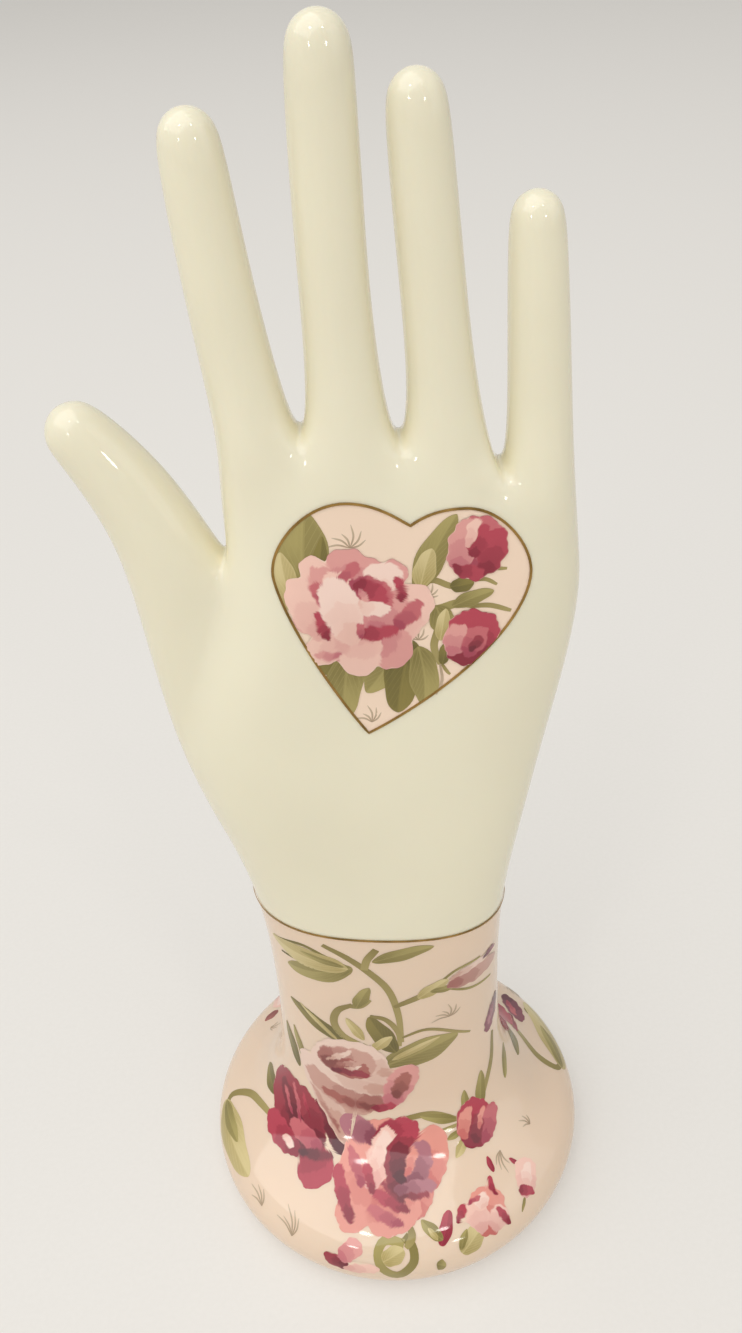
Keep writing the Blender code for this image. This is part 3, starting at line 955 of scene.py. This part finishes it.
class Press:
    """Prints sprays on the body with the films of one side of it."""

    def __init__(self, skin, blanks, side, finishes, around=0.0):
        self.skin = skin
        self.blanks = blanks
        self.around = around
        self.films = {part: Film(f"{side}_{part}", finish) for part, finish in finishes.items()}

    def sheets(self, spray):
        """The sheet on which a spray is drawn, the one that lays it down, and the ground's colour."""
        drawn = Sheet(self.skin, EYE, photo_ray(spray.spot))
        return drawn, drawn.turned(self.around) if self.around else drawn, CREAM_GROUND

    def spray(self, spray):
        """Prints one spray, stroke over stroke."""
        drawn, laid, ground = self.sheets(spray)
        order = spray.order
        for sprig in spray.sprigs:
            self.sprig(drawn.flat(sprig.foot), sprig, laid, order)
        for line in spray.lines:
            order += 1
            self.line([drawn.flat(pixel) for pixel in line.pixels], line, laid, order)
        for blade in spray.blades:
            order += 1
            start = drawn.flat(blade.base)
            shape = laid.fitted(cut_shape(start, *cut_between(start, drawn.flat(blade.tip), blade)))
            paints = even_paint(blade.paint)
            self.films["leaves"].print_shape(laid, self.blanks.leaf, shape, order, paints)
        for dabs in spray.flowers:
            order += 1
            strokes = [(drawn.flat(dab.base), drawn.flat(dab.tip), dab) for dab in dabs]
            self.flower(strokes, ground, laid, order)

    def flower(self, strokes, ground, laid, order):
        """Paints a flower or a bud and lays it down."""
        petals = [Petal(start, *cut_between(start, end, dab), dab.paint) for start, end, dab in strokes]
        ends = [place for start, end, _ in strokes for place in (start, end)]
        flower = Flower(petals, ends, ground)
        small = flower.reach < BUD_REACH
        blank = self.blanks.bud if small else self.blanks.flower
        points = BUD_BLANK[1] if small else FLOWER_BLANK[1]
        shape = laid.fitted(flower.shape(points))
        self.films["flowers"].print_shape(laid, blank, shape, order, flower.colours)

    def line(self, places, line, laid, order):
        """Lays one brush line through flat places."""
        drawn = line_shape(smooth_route(places), line.width, line.taper)
        self.films["stems"].print_shape(laid, self.blanks.strip, drawn, order, even_paint(line.paint))

    def sprig(self, foot, sprig, laid, order):
        """Lays a fan of pen strokes."""
        for k in range(sprig.strokes):
            ahead = heading(sprig.turn + sprig.opens * (k / (sprig.strokes - 1) - 0.5))
            length = sprig.length * PEN_LENGTHS[k % len(PEN_LENGTHS)]
            side = Vector((ahead.y, -ahead.x)) * (length * PEN_BEND)
            route = [foot, foot + ahead * (length * 0.5) + side, foot + ahead * length]
            self.line(route, Line((), PEN_WIDTH, SKETCH, PEN_TAPER), laid, order)

    def fire(self):
        """Fires every film that has a print on it."""
        for film in self.films.values():
            if film.shapes:
                film.fire()


# The heart


def heart_outline():
    """Points round the heart, right of the foot's axis and up, in mm."""
    outline = []
    for knot, following in zip(HEART, HEART[1:] + HEART[:1]):
        controls = [Vector(place).to_3d() for place in (*knot[1:], *following[:2])]
        outline.extend(point.to_2d() for point in interpolate_bezier(*controls, HEART_STEPS + 1)[:-1])
    return outline


class PalmSheet(Sheet):
    """An upright sheet before the palm, with its places right of the foot's axis and up."""

    def __init__(self, skin):
        self.skin = skin
        self.spot = Vector((SEAT.x, 0.0, 0.0))
        self.normal = Vector((0.0, -1.0, 0.0))
        self.across = Vector((1.0, 0.0, 0.0))
        self.up = Vector((0.0, 0.0, 1.0))

    def lay(self, place, lift):
        """The point of the palm behind a place, lifted off it, and the normal there."""
        start = self.spot + (self.across * place[0] + self.up * place[1]) * MM
        spot, normal = self.skin.meet(start + self.normal * (UPRIGHT_REACH * MM), -self.normal)
        return spot + normal * (lift * MM), normal


class HeartSheet(PalmSheet):
    """The palm's sheet with a heart cut out of it: what is drawn past the heart's edge is left out."""

    def __init__(self, skin):
        super().__init__(skin)
        spokes = [point - HEART_MIDDLE for point in heart_outline()]
        spokes.sort(key=lambda spoke: math.atan2(spoke.y, spoke.x))
        self.angles = [math.atan2(spoke.y, spoke.x) for spoke in spokes]
        self.lengths = [spoke.length for spoke in spokes]

    def holds(self, place):
        """Whether a place lies inside the heart."""
        spoke = Vector(place) - HEART_MIDDLE
        limit = np.interp(math.atan2(spoke.y, spoke.x), self.angles, self.lengths, period=2.0 * math.pi)
        return spoke.length <= limit

    def fitted(self, drawn):
        """The drawing with each of its rays cut off where it leaves the heart."""
        shares = {}

        def kept(x, y):
            radius = math.hypot(x, y)
            if radius < 1e-9:
                return drawn(x, y)
            ray = (x / radius, y / radius)
            key = round(math.atan2(y, x), 4)
            if key not in shares:
                inside = [k / CUT_STEPS for k in range(CUT_STEPS + 1)]
                inside = [share for share in inside if self.holds(drawn(ray[0] * share, ray[1] * share)[0])]
                shares[key] = max(inside, default=0.02)
            return drawn(x * shares[key], y * shares[key])

        return kept


class HeartPress(Press):
    """Prints sprays inside the heart."""

    def sheets(self, spray):
        """The heart's sheet, twice, and the colour of its ground."""
        sheet = HeartSheet(self.skin)
        return sheet, sheet, HEART_GROUND


def heart_ground(skin, blanks):
    """The printed pale pink ground of the heart."""
    outline = heart_outline()
    points = len(outline)
    film = Film("heart_ground", washed_paint("heart_ground_wash", 0.1, 0.9))

    def drawn(x, y):
        radius = math.hypot(x, y)
        turn = math.atan2(x, y) / (2.0 * math.pi) * points % points
        k = int(turn)
        rim = outline[k % points].lerp(outline[(k + 1) % points], turn - k)
        return HEART_MIDDLE.lerp(rim, radius), (0.5 + x / 2.0, 0.5 + y / 2.0), 0.0

    film.print_shape(PalmSheet(skin), blanks.ground, drawn, 0, even_paint(Paint(HEART_GROUND, HEART_GROUND)))
    film.fire()


# Gilt lines


def gilt_ring(name, points):
    """A flat ring strip, to be laid along a closed line: its inner and outer edge and a middle row."""
    bpy.ops.object.select_all(action="DESELECT")
    bpy.ops.mesh.primitive_circle_add(vertices=points, radius=1.0)
    ring = bpy.context.object
    ring.name = name
    ring.data.name = name
    bpy.ops.object.mode_set(mode="EDIT")
    for _ in range(2):
        bpy.ops.mesh.extrude_region_move(TRANSFORM_OT_translate={"value": (0.0, 0.0, 1.0)})
    bpy.ops.object.mode_set(mode="OBJECT")
    return ring


def lay_gilt(ring, place_of, material):
    """Lays a ring strip by its row and its share of the way round, and gives it its fired thickness."""
    normals = []
    for vert in ring.data.vertices:
        row = round(vert.co.z) - 1
        share = math.atan2(vert.co.x, vert.co.y) / (2.0 * math.pi) % 1.0
        vert.co, normal = place_of(share, row)
        normals.append(normal)
    only(ring)
    bpy.ops.object.mode_set(mode="EDIT")
    bpy.ops.mesh.select_all(action="SELECT")
    bpy.ops.mesh.normals_make_consistent(inside=False)
    bpy.ops.object.mode_set(mode="OBJECT")
    if sum(face.normal.dot(normals[face.vertices[0]]) for face in ring.data.polygons) < 0.0:
        ring.data.flip_normals()
    thicken(ring)
    bpy.ops.object.shade_smooth_by_angle(angle=math.radians(40))
    finish_piece(ring, material)


def wrist_gilding(skin, material):
    """The gilt line where the printed ground ends, all round the wrist."""
    middle = Vector((FOOT_AXIS_X, 0.0, 0.0))

    def wall_at(out, level):
        start = (middle + out * UPRIGHT_REACH + Vector((0.0, 0.0, level))) * MM
        return skin.meet(start, -out)

    def place_of(share, row):
        angle = 2.0 * math.pi * share
        out = Vector((math.sin(angle), math.cos(angle), 0.0))
        spot, normal = wall_at(out, WRIST_LINE_HEIGHT)
        for _ in range(LEVELLINGS):
            right, away = spot.x / MM - FOOT_AXIS_X, spot.y / MM
            level = WRIST_LINE_HEIGHT + WRIST_LINE_SLOPE_RIGHT * right + WRIST_LINE_SLOPE_AWAY * away
            spot, normal = wall_at(out, level + row * GILT_WIDTH / 2.0)
        return spot + normal * (GILT_LIFT * MM), normal

    lay_gilt(gilt_ring("wrist_gilding", GILT_POINTS), place_of, material)


def heart_gilding(skin, material):
    """The gilt outline of the heart."""
    outline = heart_outline()
    points = len(outline)
    sheet = PalmSheet(skin)

    def place_of(share, row):
        k = round(share * points) % points
        ahead = (outline[(k + 1) % points] - outline[k - 1]).normalized()
        place = outline[k] + Vector((-ahead.y, ahead.x)) * (row * GILT_WIDTH / 2.0)
        return sheet.lay(place, GILT_LIFT)

    lay_gilt(gilt_ring("heart_gilding", points), place_of, material)


# Floor and light


class Lamp(NamedTuple):
    """A studio lamp: where it hangs from the middle of the hand, its size and its power."""

    place: tuple
    size: float
    watts: float
    colour: tuple = (1.0, 1.0, 1.0)


# Lamps, in metres, from the middle of the hand
AIM = Vector((0.0, 0.0, 0.12))
LAMPS = {
    "soft_key": Lamp((-0.9, -0.55, 2.1), 3.2, 50.0),
    "soft_fill": Lamp((1.6, -0.6, 0.9), 1.6, 4.2),
}

# Two pairs of round bulbs: how far off they are, how far to each side in degrees, and how high
BULB = Lamp((0.0, -1.4, 0.0), 0.13, 0.7, (1.0, 0.98, 0.93))
BULB_SIDE = 27.0
BULB_HEIGHTS = (20.0, 55.0)

# How strongly the room lights the hand, how strongly it is seen, and how much paler the floor is seen
ROOM_LIGHT = 0.36
ROOM_SEEN = 0.85
FLOOR_VEIL = 0.4
FLOOR_SIZE = 14.0


def add_lamp(name, lamp, place, shape="SQUARE"):
    """A flat lamp that faces the hand."""
    data = bpy.data.lights.new(name, "AREA")
    data.shape = shape
    data.size = lamp.size
    data.energy = lamp.watts
    data.color = lamp.colour
    obj = bpy.data.objects.new(name, data)
    obj.location = place
    obj.rotation_euler = (AIM - place).to_track_quat("-Z", "Y").to_euler()
    bpy.context.scene.collection.objects.link(obj)


def add_studio():
    """A pale floor, soft lamps, and four round bulbs that the glaze shows as small glints."""
    bpy.ops.object.select_all(action="DESELECT")
    bpy.ops.mesh.primitive_plane_add(size=FLOOR_SIZE)
    floor = bpy.context.object
    floor.name = "studio_floor"
    floor.data.materials.append(plain_paper())
    for name, lamp in LAMPS.items():
        add_lamp(name, lamp, AIM + Vector(lamp.place))
    for side in (-1, 1):
        for height in BULB_HEIGHTS:
            turn = Matrix.Rotation(math.radians(BULB_SIDE * side), 3, "Z")
            rise = Matrix.Rotation(math.radians(-height), 3, "X")
            place = AIM + turn @ (rise @ Vector(BULB.place))
            add_lamp(f"bulb_{side}_{height:.0f}", BULB, place, "DISK")
    world = bpy.data.worlds.new("pale_room")
    world.use_nodes = True
    tree = world.node_tree
    background = tree.nodes["Background"]
    background.inputs["Color"].default_value = ROOM
    strength = add(
        tree,
        "ShaderNodeMapRange",
        {},
        {"Value": seen_straight(tree), "To Min": ROOM_LIGHT, "To Max": ROOM_SEEN},
    )
    tree.links.new(strength.outputs[0], background.inputs["Strength"])
    bpy.context.scene.world = world
    bpy.context.scene.view_settings.view_transform = "Standard"


# The print, as the photograph shows it laid out


HEART_ROSE = (
    Dab((356, 662), (352, 556), 15.5, PINK, 0.0, 0.8, 0.0),
    Dab((347, 592), (344, 548), 6.8, PINK),
    Dab((328, 592), (304, 557), 4.4, BLUSH),
    Dab((384, 594), (399, 560), 4.8, PINK),
    Dab((384, 642), (422, 584), 7.6, BLUSH, -20.0),
    Dab((368, 632), (410, 658), 7.6, PINK, -15.0),
    Dab((364, 628), (358, 676), 7.0, BLUSH),
    Dab((338, 630), (295, 610), 5.8, PINK),
    Dab((350, 640), (301, 655), 5.2, BLUSH, 20.0),
    Dab((342, 654), (314, 655), 1.6, PINK, 20.0),
    Dab((326, 638), (294, 577), 5.4, BLUSH, 25.0),
    Dab((336, 618), (316, 566), 4.6, PINK),
    Dab((325, 607), (314, 582), 2.2, ROSE),
    Dab((329, 641), (317, 612), 2.0, RUBY),
    Dab((352, 622), (335, 571), 5.8, BLUSH, 25.0),
    Dab((370, 606), (387, 562), 6.8, PALE, -20.0),
    Dab((374, 636), (396, 590), 6.6, PINK, -20.0),
    Dab((336, 592), (360, 563), 2.1, ROSE, 40.0),
    Dab((402, 602), (397, 575), 1.8, RUBY, -15.0),
    Dab((394, 628), (419, 600), 3.2, ROSE, -25.0),
    Dab((350, 582), (390, 606), 5.2, ROSE, 20.0),
    Dab((354, 582), (387, 602), 3.4, RUBY, 15.0),
    Dab((359, 589), (366, 601), 1.3, PINK),
    Dab((350, 602), (390, 608), 2.6, PALE, -40.0),
    Dab((350, 633), (398, 629), 2.6, RUBY, -25.0),
    Dab((356, 643), (330, 577), 6.2, PALE, 12.0),
    Dab((359, 638), (362, 622), 1.5, ROSE),
)
HEART_BUD_HIGH = (
    Dab((468, 580), (484, 515), 7.8, ROSE, 0.0, 0.8, 0.1),
    Dab((459, 574), (470, 519), 4.6, PINK, 20.0),
    Dab((481, 575), (499, 527), 4.4, RUBY, -20.0),
    Dab((472, 558), (485, 524), 3.0, RUBY),
    Dab((468, 546), (478, 517), 1.8, BLUSH, 15.0),
    Dab((453, 566), (485, 573), 2.6, RUBY, -30.0),
)
HEART_BUD_LOW = (
    Dab((462, 664), (478, 609), 8.2, RUBY, 0.0, 0.8, 0.0),
    Dab((452, 655), (464, 624), 4.2, PINK, 25.0),
    Dab((480, 660), (491, 613), 3.4, RUBY, -20.0),
    Dab((467, 656), (483, 626), 3.8, ROSE, 10.0),
    Dab((471, 650), (481, 634), 2.0, CRIMSON),
)
HEART_SPRAY = Spray(
    (400, 620),
    1,
    lines=(
        Line(((414, 588), (432, 580), (452, 586), (472, 584)), 1.1),
        Line(((412, 606), (436, 609), (458, 603), (476, 606)), 1.5, OLIVE),
        Line(((474, 575), (490, 569), (507, 568)), 0.7),
        Line(((474, 580), (486, 579), (497, 584)), 0.7),
        Line(((470, 606), (490, 605), (511, 610)), 0.9),
        Line(((436, 612), (438, 628), (434, 646), (440, 664)), 1.3),
        Line(((442, 664), (447, 671), (450, 674)), 0.6),
        Line(((440, 664), (442, 680), (436, 694)), 0.5, SKETCH),
    ),
    blades=(
        Blade((306, 612), (304, 512), 8.4, OLIVE, 10.0, 1.0),
        Blade((296, 612), (280, 552), 4.0, STRAW, 18.0),
        Blade((312, 600), (322, 536), 2.6, MOSS, -10.0),
        Blade((348, 646), (304, 676), 5.4, MOSS, -10.0),
        Blade((350, 650), (342, 722), 6.2, OLIVE, -8.0, 1.1),
        Blade((398, 646), (366, 692), 5.6, OLIVE, 20.0),
        Blade((412, 640), (398, 712), 6.4, MOSS, -12.0, 1.1),
        Blade((418, 646), (424, 706), 5.0, OLIVE, 22.0),
        Blade((416, 592), (457, 514), 4.6, OLIVE, 14.0),
        Blade((420, 588), (432, 548), 3.6, STRAW, 10.0),
        Blade((452, 606), (494, 590), 2.6, OLIVE, 12.0),
        Blade((436, 606), (452, 634), 4.2, OLIVE, -16.0),
        Blade((440, 640), (446, 608), 2.4, STRAW),
        Blade((450, 586), (474, 582), 2.6, MOSS, -10.0),
        Blade((442, 664), (448, 640), 2.0, MOSS),
    ),
    flowers=(HEART_ROSE, HEART_BUD_HIGH, HEART_BUD_LOW),
    sprigs=(
        Sprig((350, 548), 4.0, 6, 10.0, 150.0),
        Sprig((372, 722), 3.4, 5, 10.0, 110.0),
        Sprig((428, 596), 2.4, 5, -20.0, 140.0),
        Sprig((418, 640), 2.8, 5, 10.0, 150.0),
        Sprig((420, 696), 1.6, 4, 20.0, 90.0),
    ),
)

DUSTY_ROSE = (
    Dab((350, 1114), (348, 1040), 18.0, DUSTY_PALE, 0.0, 0.75, 0.0),
    Dab((349, 1146), (304, 1048), 5.6, DUSTY_PALE, 20.0),
    Dab((340, 1132), (312, 1082), 1.2, DUSTY, 15.0),
    Dab((388, 1104), (308, 1064), 7.4, DUSTY, 34.0),
    Dab((378, 1107), (322, 1086), 2.4, BRICK, 26.0),
    Dab((394, 1090), (310, 1052), 5.0, DUSTY_PALE, 40.0),
    Dab((390, 1076), (366, 1048), 4.4, DUSTY_PALE, 20.0),
    Dab((318, 1052), (376, 1066), 9.4, DUSTY, 0.0, 0.8),
    Dab((322, 1056), (370, 1072), 6.0, BRICK, -16.0, 0.8),
    Dab((330, 1068), (370, 1076), 2.2, CRIMSON, 26.0),
    Dab((326, 1058), (352, 1050), 1.4, DUSTY_PALE, -24.0),
    Dab((336, 1062), (364, 1062), 1.6, DUSTY, -20.0),
    Dab((345, 1068), (362, 1066), 1.0, DUSTY_PALE, -20.0),
    Dab((389, 1106), (412, 1064), 6.4, PINK),
    Dab((394, 1098), (406, 1072), 3.4, BRICK, -10.0),
    Dab((372, 1108), (396, 1104), 2.2, RUBY, -20.0),
)
CRIMSON_ROSE = (
    Dab((312, 1154), (280, 1066), 11.5, CRIMSON, 0.0, 0.8, -0.1),
    Dab((300, 1154), (270, 1108), 5.0, RUBY, 25.0),
    Dab((310, 1144), (320, 1188), 8.0, RUBY),
    Dab((341, 1156), (318, 1098), 4.6, WINE, -15.0),
    Dab((320, 1152), (300, 1084), 5.2, CRIMSON),
    Dab((306, 1146), (284, 1076), 3.8, WINE, 10.0),
    Dab((322, 1150), (292, 1118), 3.8, ROSE, 10.0),
    Dab((301, 1124), (294, 1082), 1.0, ROSE),
    Dab((292, 1114), (286, 1084), 0.9, ROSE),
    Dab((310, 1118), (303, 1092), 0.8, RUBY),
    Dab((298, 1150), (334, 1156), 2.2, WINE, -15.0),
    Dab((284, 1134), (293, 1147), 1.6, PALE),
)
GREAT_ROSE = (
    Dab((388, 1230), (386, 1118), 21.0, CORAL, 0.0, 0.75, 0.0),
    Dab((378, 1140), (340, 1118), 5.0, MAUVE),
    Dab((374, 1140), (420, 1130), 5.2, RUBY, 30.0),
    Dab((424, 1194), (434, 1124), 7.0, CORAL, -20.0),
    Dab((384, 1160), (344, 1232), 9.0, CORAL, -10.0),
    Dab((353, 1224), (337, 1162), 3.0, RUBY, 20.0),
    Dab((384, 1188), (402, 1234), 12.0, CORAL),
    Dab((404, 1226), (368, 1206), 2.4, ROSE, 20.0),
    Dab((410, 1212), (372, 1190), 2.4, RUBY, 15.0),
    Dab((405, 1203), (382, 1182), 1.6, CRIMSON, 15.0),
    Dab((368, 1190), (390, 1127), 6.0, BLUSH, -8.0),
    Dab((370, 1172), (388, 1131), 3.2, PALE, -8.0),
    Dab((373, 1194), (365, 1162), 2.2, RUBY),
    Dab((363, 1188), (350, 1146), 2.4, ROSE),
    Dab((402, 1198), (404, 1136), 8.0, CRIMSON, 0.0, 0.8),
    Dab((400, 1184), (400, 1142), 4.6, WINE),
    Dab((413, 1188), (422, 1140), 5.4, MAUVE, -15.0),
    Dab((406, 1176), (414, 1146), 2.0, CORAL, -20.0),
    Dab((394, 1190), (436, 1184), 3.4, MAUVE, -20.0),
    Dab((400, 1196), (430, 1194), 1.4, CRIMSON, -20.0),
)
SIDE_BUD = (
    Dab((472, 1148), (478, 1097), 8.2, RUBY, 0.0, 0.8),
    Dab((483, 1144), (493, 1101), 3.6, ROSE, -15.0),
    Dab((463, 1140), (469, 1106), 3.0, CORAL, 15.0),
    Dab((474, 1144), (480, 1112), 3.0, CRIMSON),
    Dab((478, 1128), (483, 1106), 1.4, CORAL),
)
WRIST_BUD = (
    Dab((446, 985), (495, 950), 4.6, DUSTY, -12.0),
    Dab((449, 979), (486, 954), 1.8, DUSTY_PALE, 10.0),
    Dab((482, 957), (494, 943), 1.8, PLUM),
)
PLUM_PETAL = (
    Dab((495, 990), (486, 1032), 4.0, PLUM, 10.0),
    Dab((493, 1000), (488, 1024), 1.4, MAUVE),
)
PLUM_BUDS = (
    Dab((503, 994), (520, 1021), 4.6, PLUM, 15.0),
    Dab((506, 1000), (516, 1016), 1.6, ROSE),
    Dab((508, 1012), (517, 1032), 2.0, CRIMSON),
)
BLUSH_FLOWER = (
    Dab((488, 1236), (486, 1186), 8.0, CORAL, 0.0, 0.8),
    Dab((484, 1232), (470, 1200), 5.0, BLUSH),
    Dab((492, 1230), (504, 1206), 4.4, BLUSH),
    Dab((486, 1208), (478, 1194), 3.0, PALE),
    Dab((497, 1196), (488, 1174), 1.4, RUBY, 25.0),
    Dab((512, 1223), (496, 1207), 1.6, RUBY, 20.0),
    Dab((458, 1226), (465, 1203), 1.6, RUBY, 20.0),
    Dab((469, 1205), (480, 1196), 1.0, ROSE, 20.0),
)
BLUSH_BUD = (
    Dab((526, 1198), (525, 1157), 5.2, BLUSH, 0.0, 0.8),
    Dab((518, 1188), (534, 1190), 2.2, RUBY, -30.0),
    Dab((526, 1186), (527, 1162), 2.4, PALE),
)
LOW_FLOWER = (
    Dab((348, 1266), (324, 1254), 3.4, CRIMSON, 10.0),
    Dab((338, 1258), (361, 1242), 4.2, PINK, -10.0),
    Dab((344, 1268), (380, 1269), 2.6, BLUSH, 8.0),
)
RING_STEM = (
    (404, 1236), (413, 1248), (413, 1264), (398, 1275),
    (382, 1268), (378, 1252), (386, 1240), (404, 1244),
)

FOOT_SPRAYS = (
    Spray(
        (310, 960),
        1,
        lines=(
            Line(((274, 934), (300, 944), (326, 957), (348, 967)), 0.7, MOSS),
            Line(((282, 950), (304, 962), (328, 970), (346, 969)), 0.7, MOSS),
        ),
        blades=(
            Blade((352, 968), (288, 962), 5.6, OLIVE, 26.0, 1.1),
            Blade((348, 969), (273, 933), 5.6, STRAW, 6.0),
            Blade((344, 967), (300, 950), 1.6, OLIVE, 6.0),
        ),
    ),
    Spray(
        (400, 985),
        2,
        lines=(
            Line(((322, 945), (345, 957), (368, 972), (388, 990), (398, 1014), (402, 1042)), 1.5),
            Line(((376, 950), (367, 960), (364, 970)), 1.6, STEM, 0.1),
            Line(((394, 1007), (412, 1000), (435, 990), (452, 986)), 1.5),
            Line(((438, 984), (456, 970), (480, 956)), 0.6, OLIVE),
            Line(((446, 988), (468, 988), (490, 974)), 0.6, OLIVE),
        ),
        blades=(
            Blade((372, 962), (434, 946), 3.2, OLIVE, 10.0),
            Blade((418, 998), (448, 979), 3.2, STRAW, 8.0, 1.0),
            Blade((430, 991), (458, 984), 1.8, OLIVE, -10.0),
        ),
        flowers=(WRIST_BUD,),
        sprigs=(Sprig((450, 1016), 4.0, 6, 20.0, 150.0),),
    ),
    Spray(
        (360, 1025),
        3,
        lines=(
            Line(((352, 1005), (338, 1010), (334, 1022), (344, 1036), (370, 1048)), 1.7),
            Line(((348, 1006), (360, 1006), (370, 1000)), 1.4),
            Line(((370, 1016), (386, 1020), (398, 1032), (400, 1046)), 1.2),
        ),
        blades=(
            Blade((356, 1008), (369, 988), 3.0, OLIVE, 10.0),
            Blade((396, 1052), (369, 1017), 4.6, MOSS, 10.0, 1.1),
            Blade((364, 1040), (346, 1018), 2.2, STRAW),
            Blade((372, 1050), (392, 1036), 2.6, STRAW),
        ),
    ),
    Spray(
        (305, 1030),
        3,
        blades=(
            Blade((348, 1044), (291, 996), 3.8, MOSS, -8.0),
            Blade((338, 1040), (300, 1002), 1.2, STRAW, -8.0),
            Blade((300, 1066), (287, 1020), 2.6, MOSS, 6.0),
            Blade((308, 1068), (294, 1024), 1.8, OLIVE, 6.0),
        ),
    ),
    Spray((272, 1080), 2, blades=(Blade((276, 1094), (270, 1062), 3.6, MOSS),)),
    Spray(
        (425, 1050),
        3,
        lines=(Line(((400, 1038), (430, 1029), (470, 1031)), 0.8),),
        blades=(
            Blade((384, 1066), (458, 1033), 7.4, OLIVE, 14.0),
            Blade((392, 1060), (440, 1036), 1.8, STRAW, 12.0),
        ),
    ),
    Spray((303, 1125), 8, flowers=(CRIMSON_ROSE,)),
    Spray((360, 1080), 10, flowers=(DUSTY_ROSE,)),
    Spray(
        (390, 1172),
        10,
        lines=(Line(((410, 1226), (412, 1238), (406, 1248)), 1.6),),
        flowers=(GREAT_ROSE,),
    ),
    Spray(
        (475, 1120),
        3,
        lines=(
            Line(((492, 1030), (491, 1058), (484, 1090), (480, 1104)), 1.1),
            Line(((398, 1120), (430, 1114), (456, 1118)), 1.3),
            Line(((424, 1135), (442, 1131), (458, 1124)), 0.9),
        ),
        blades=(
            Blade((480, 1108), (481, 1070), 2.6, OLIVE, -12.0),
            Blade((466, 1116), (464, 1090), 2.0, OLIVE, -10.0),
            Blade((458, 1119), (420, 1116), 2.2, OLIVE, 6.0),
            Blade((466, 1136), (456, 1158), 2.0, STRAW, 10.0),
            Blade((462, 1130), (447, 1140), 1.4, OLIVE),
        ),
        flowers=(SIDE_BUD,),
        sprigs=(Sprig((500, 1150), 4.4, 4, 160.0, 60.0),),
    ),
    Spray(
        (238, 1130),
        2,
        lines=(Line(((226, 1108), (233, 1094), (250, 1093), (262, 1104), (274, 1118)), 1.7),),
        blades=(
            Blade((226, 1100), (249, 1176), 6.8, STRAW, -18.0, 1.1),
            Blade((227, 1100), (238, 1142), 3.0, OLIVE, -12.0),
        ),
    ),
    Spray(
        (490, 1208),
        3,
        blades=(Blade((494, 1172), (487, 1156), 1.3, RUBY, 10.0),),
        flowers=(BLUSH_FLOWER,),
    ),
    Spray(
        (526, 1178),
        3,
        blades=(Blade((518, 1164), (509, 1158), 1.0, RUBY), Blade((525, 1196), (522, 1212), 0.7, STEM)),
        flowers=(BLUSH_BUD,),
    ),
    Spray((530, 1120), 2, sprigs=(Sprig((530, 1124), 3.0, 4, 10.0, 90.0),)),
    Spray(
        (446, 1232),
        3,
        blades=(
            Blade((441, 1246), (449, 1210), 2.8, RUBY, -8.0, 0.9),
            Blade((443, 1240), (421, 1220), 2.6, OLIVE, 10.0),
            Blade((438, 1240), (428, 1228), 1.2, STRAW),
            Blade((440, 1276), (446, 1266), 2.0, OLIVE),
        ),
    ),
    Spray(
        (472, 1240),
        3,
        blades=(
            Blade((462, 1253), (482, 1226), 4.8, STRAW, 0.0, 0.9),
            Blade((461, 1250), (467, 1229), 1.6, OLIVE, 20.0),
        ),
    ),
    Spray(
        (395, 1256),
        3,
        lines=(
            Line(RING_STEM, 1.9, OLIVE, 0.1),
        ),
        blades=(Blade((383, 1262), (404, 1250), 4.0, STRAW, 0.0, 0.8),),
    ),
    Spray(
        (345, 1256),
        3,
        flowers=(LOW_FLOWER,),
        sprigs=(Sprig((292, 1236), 6.0, 5, 20.0, 70.0), Sprig((262, 1206), 4.6, 4, 40.0, 70.0)),
    ),
)
RIM_SPRAYS = (
    Spray((490, 1010), 3, flowers=(PLUM_PETAL,)),
    Spray((510, 1010), 3, flowers=(PLUM_BUDS,)),
    Spray((506, 1060), 2, blades=(Blade((503, 1042), (505, 1078), 2.2, OLIVE, 6.0),)),
    Spray((545, 1028), 2, blades=(Blade((524, 1008), (558, 1044), 3.6, OLIVE, 16.0),)),
    Spray(
        (270, 1018),
        2,
        blades=(Blade((278, 1010), (265, 1021), 2.4, BRICK, 8.0),),
    ),
)


def main():
    hand = cast_body()
    skin = Skin(hand)
    blanks = Blanks()
    finishes = {
        "flowers": washed_paint("rose_enamels", 0.2, 1.3),
        "leaves": washed_paint("leaf_enamels", 0.3, 1.3, vein=True),
        "stems": washed_paint("stem_enamels", 0.2, 1.4),
    }
    heart_ground(skin, blanks)
    heart = HeartPress(skin, blanks, "heart", finishes)
    heart.spray(HEART_SPRAY)
    front = Press(skin, blanks, "front", finishes)
    for spray in FOOT_SPRAYS + RIM_SPRAYS:
        front.spray(spray)
    back = Press(skin, blanks, "back", finishes, 180.0)
    for spray in FOOT_SPRAYS:
        back.spray(spray)
    for press in (heart, front, back):
        press.fire()
    blanks.clear()
    gilt = fired_gilt()
    wrist_gilding(skin, gilt)
    heart_gilding(skin, gilt)
    add_studio()
    add_camera()


main()
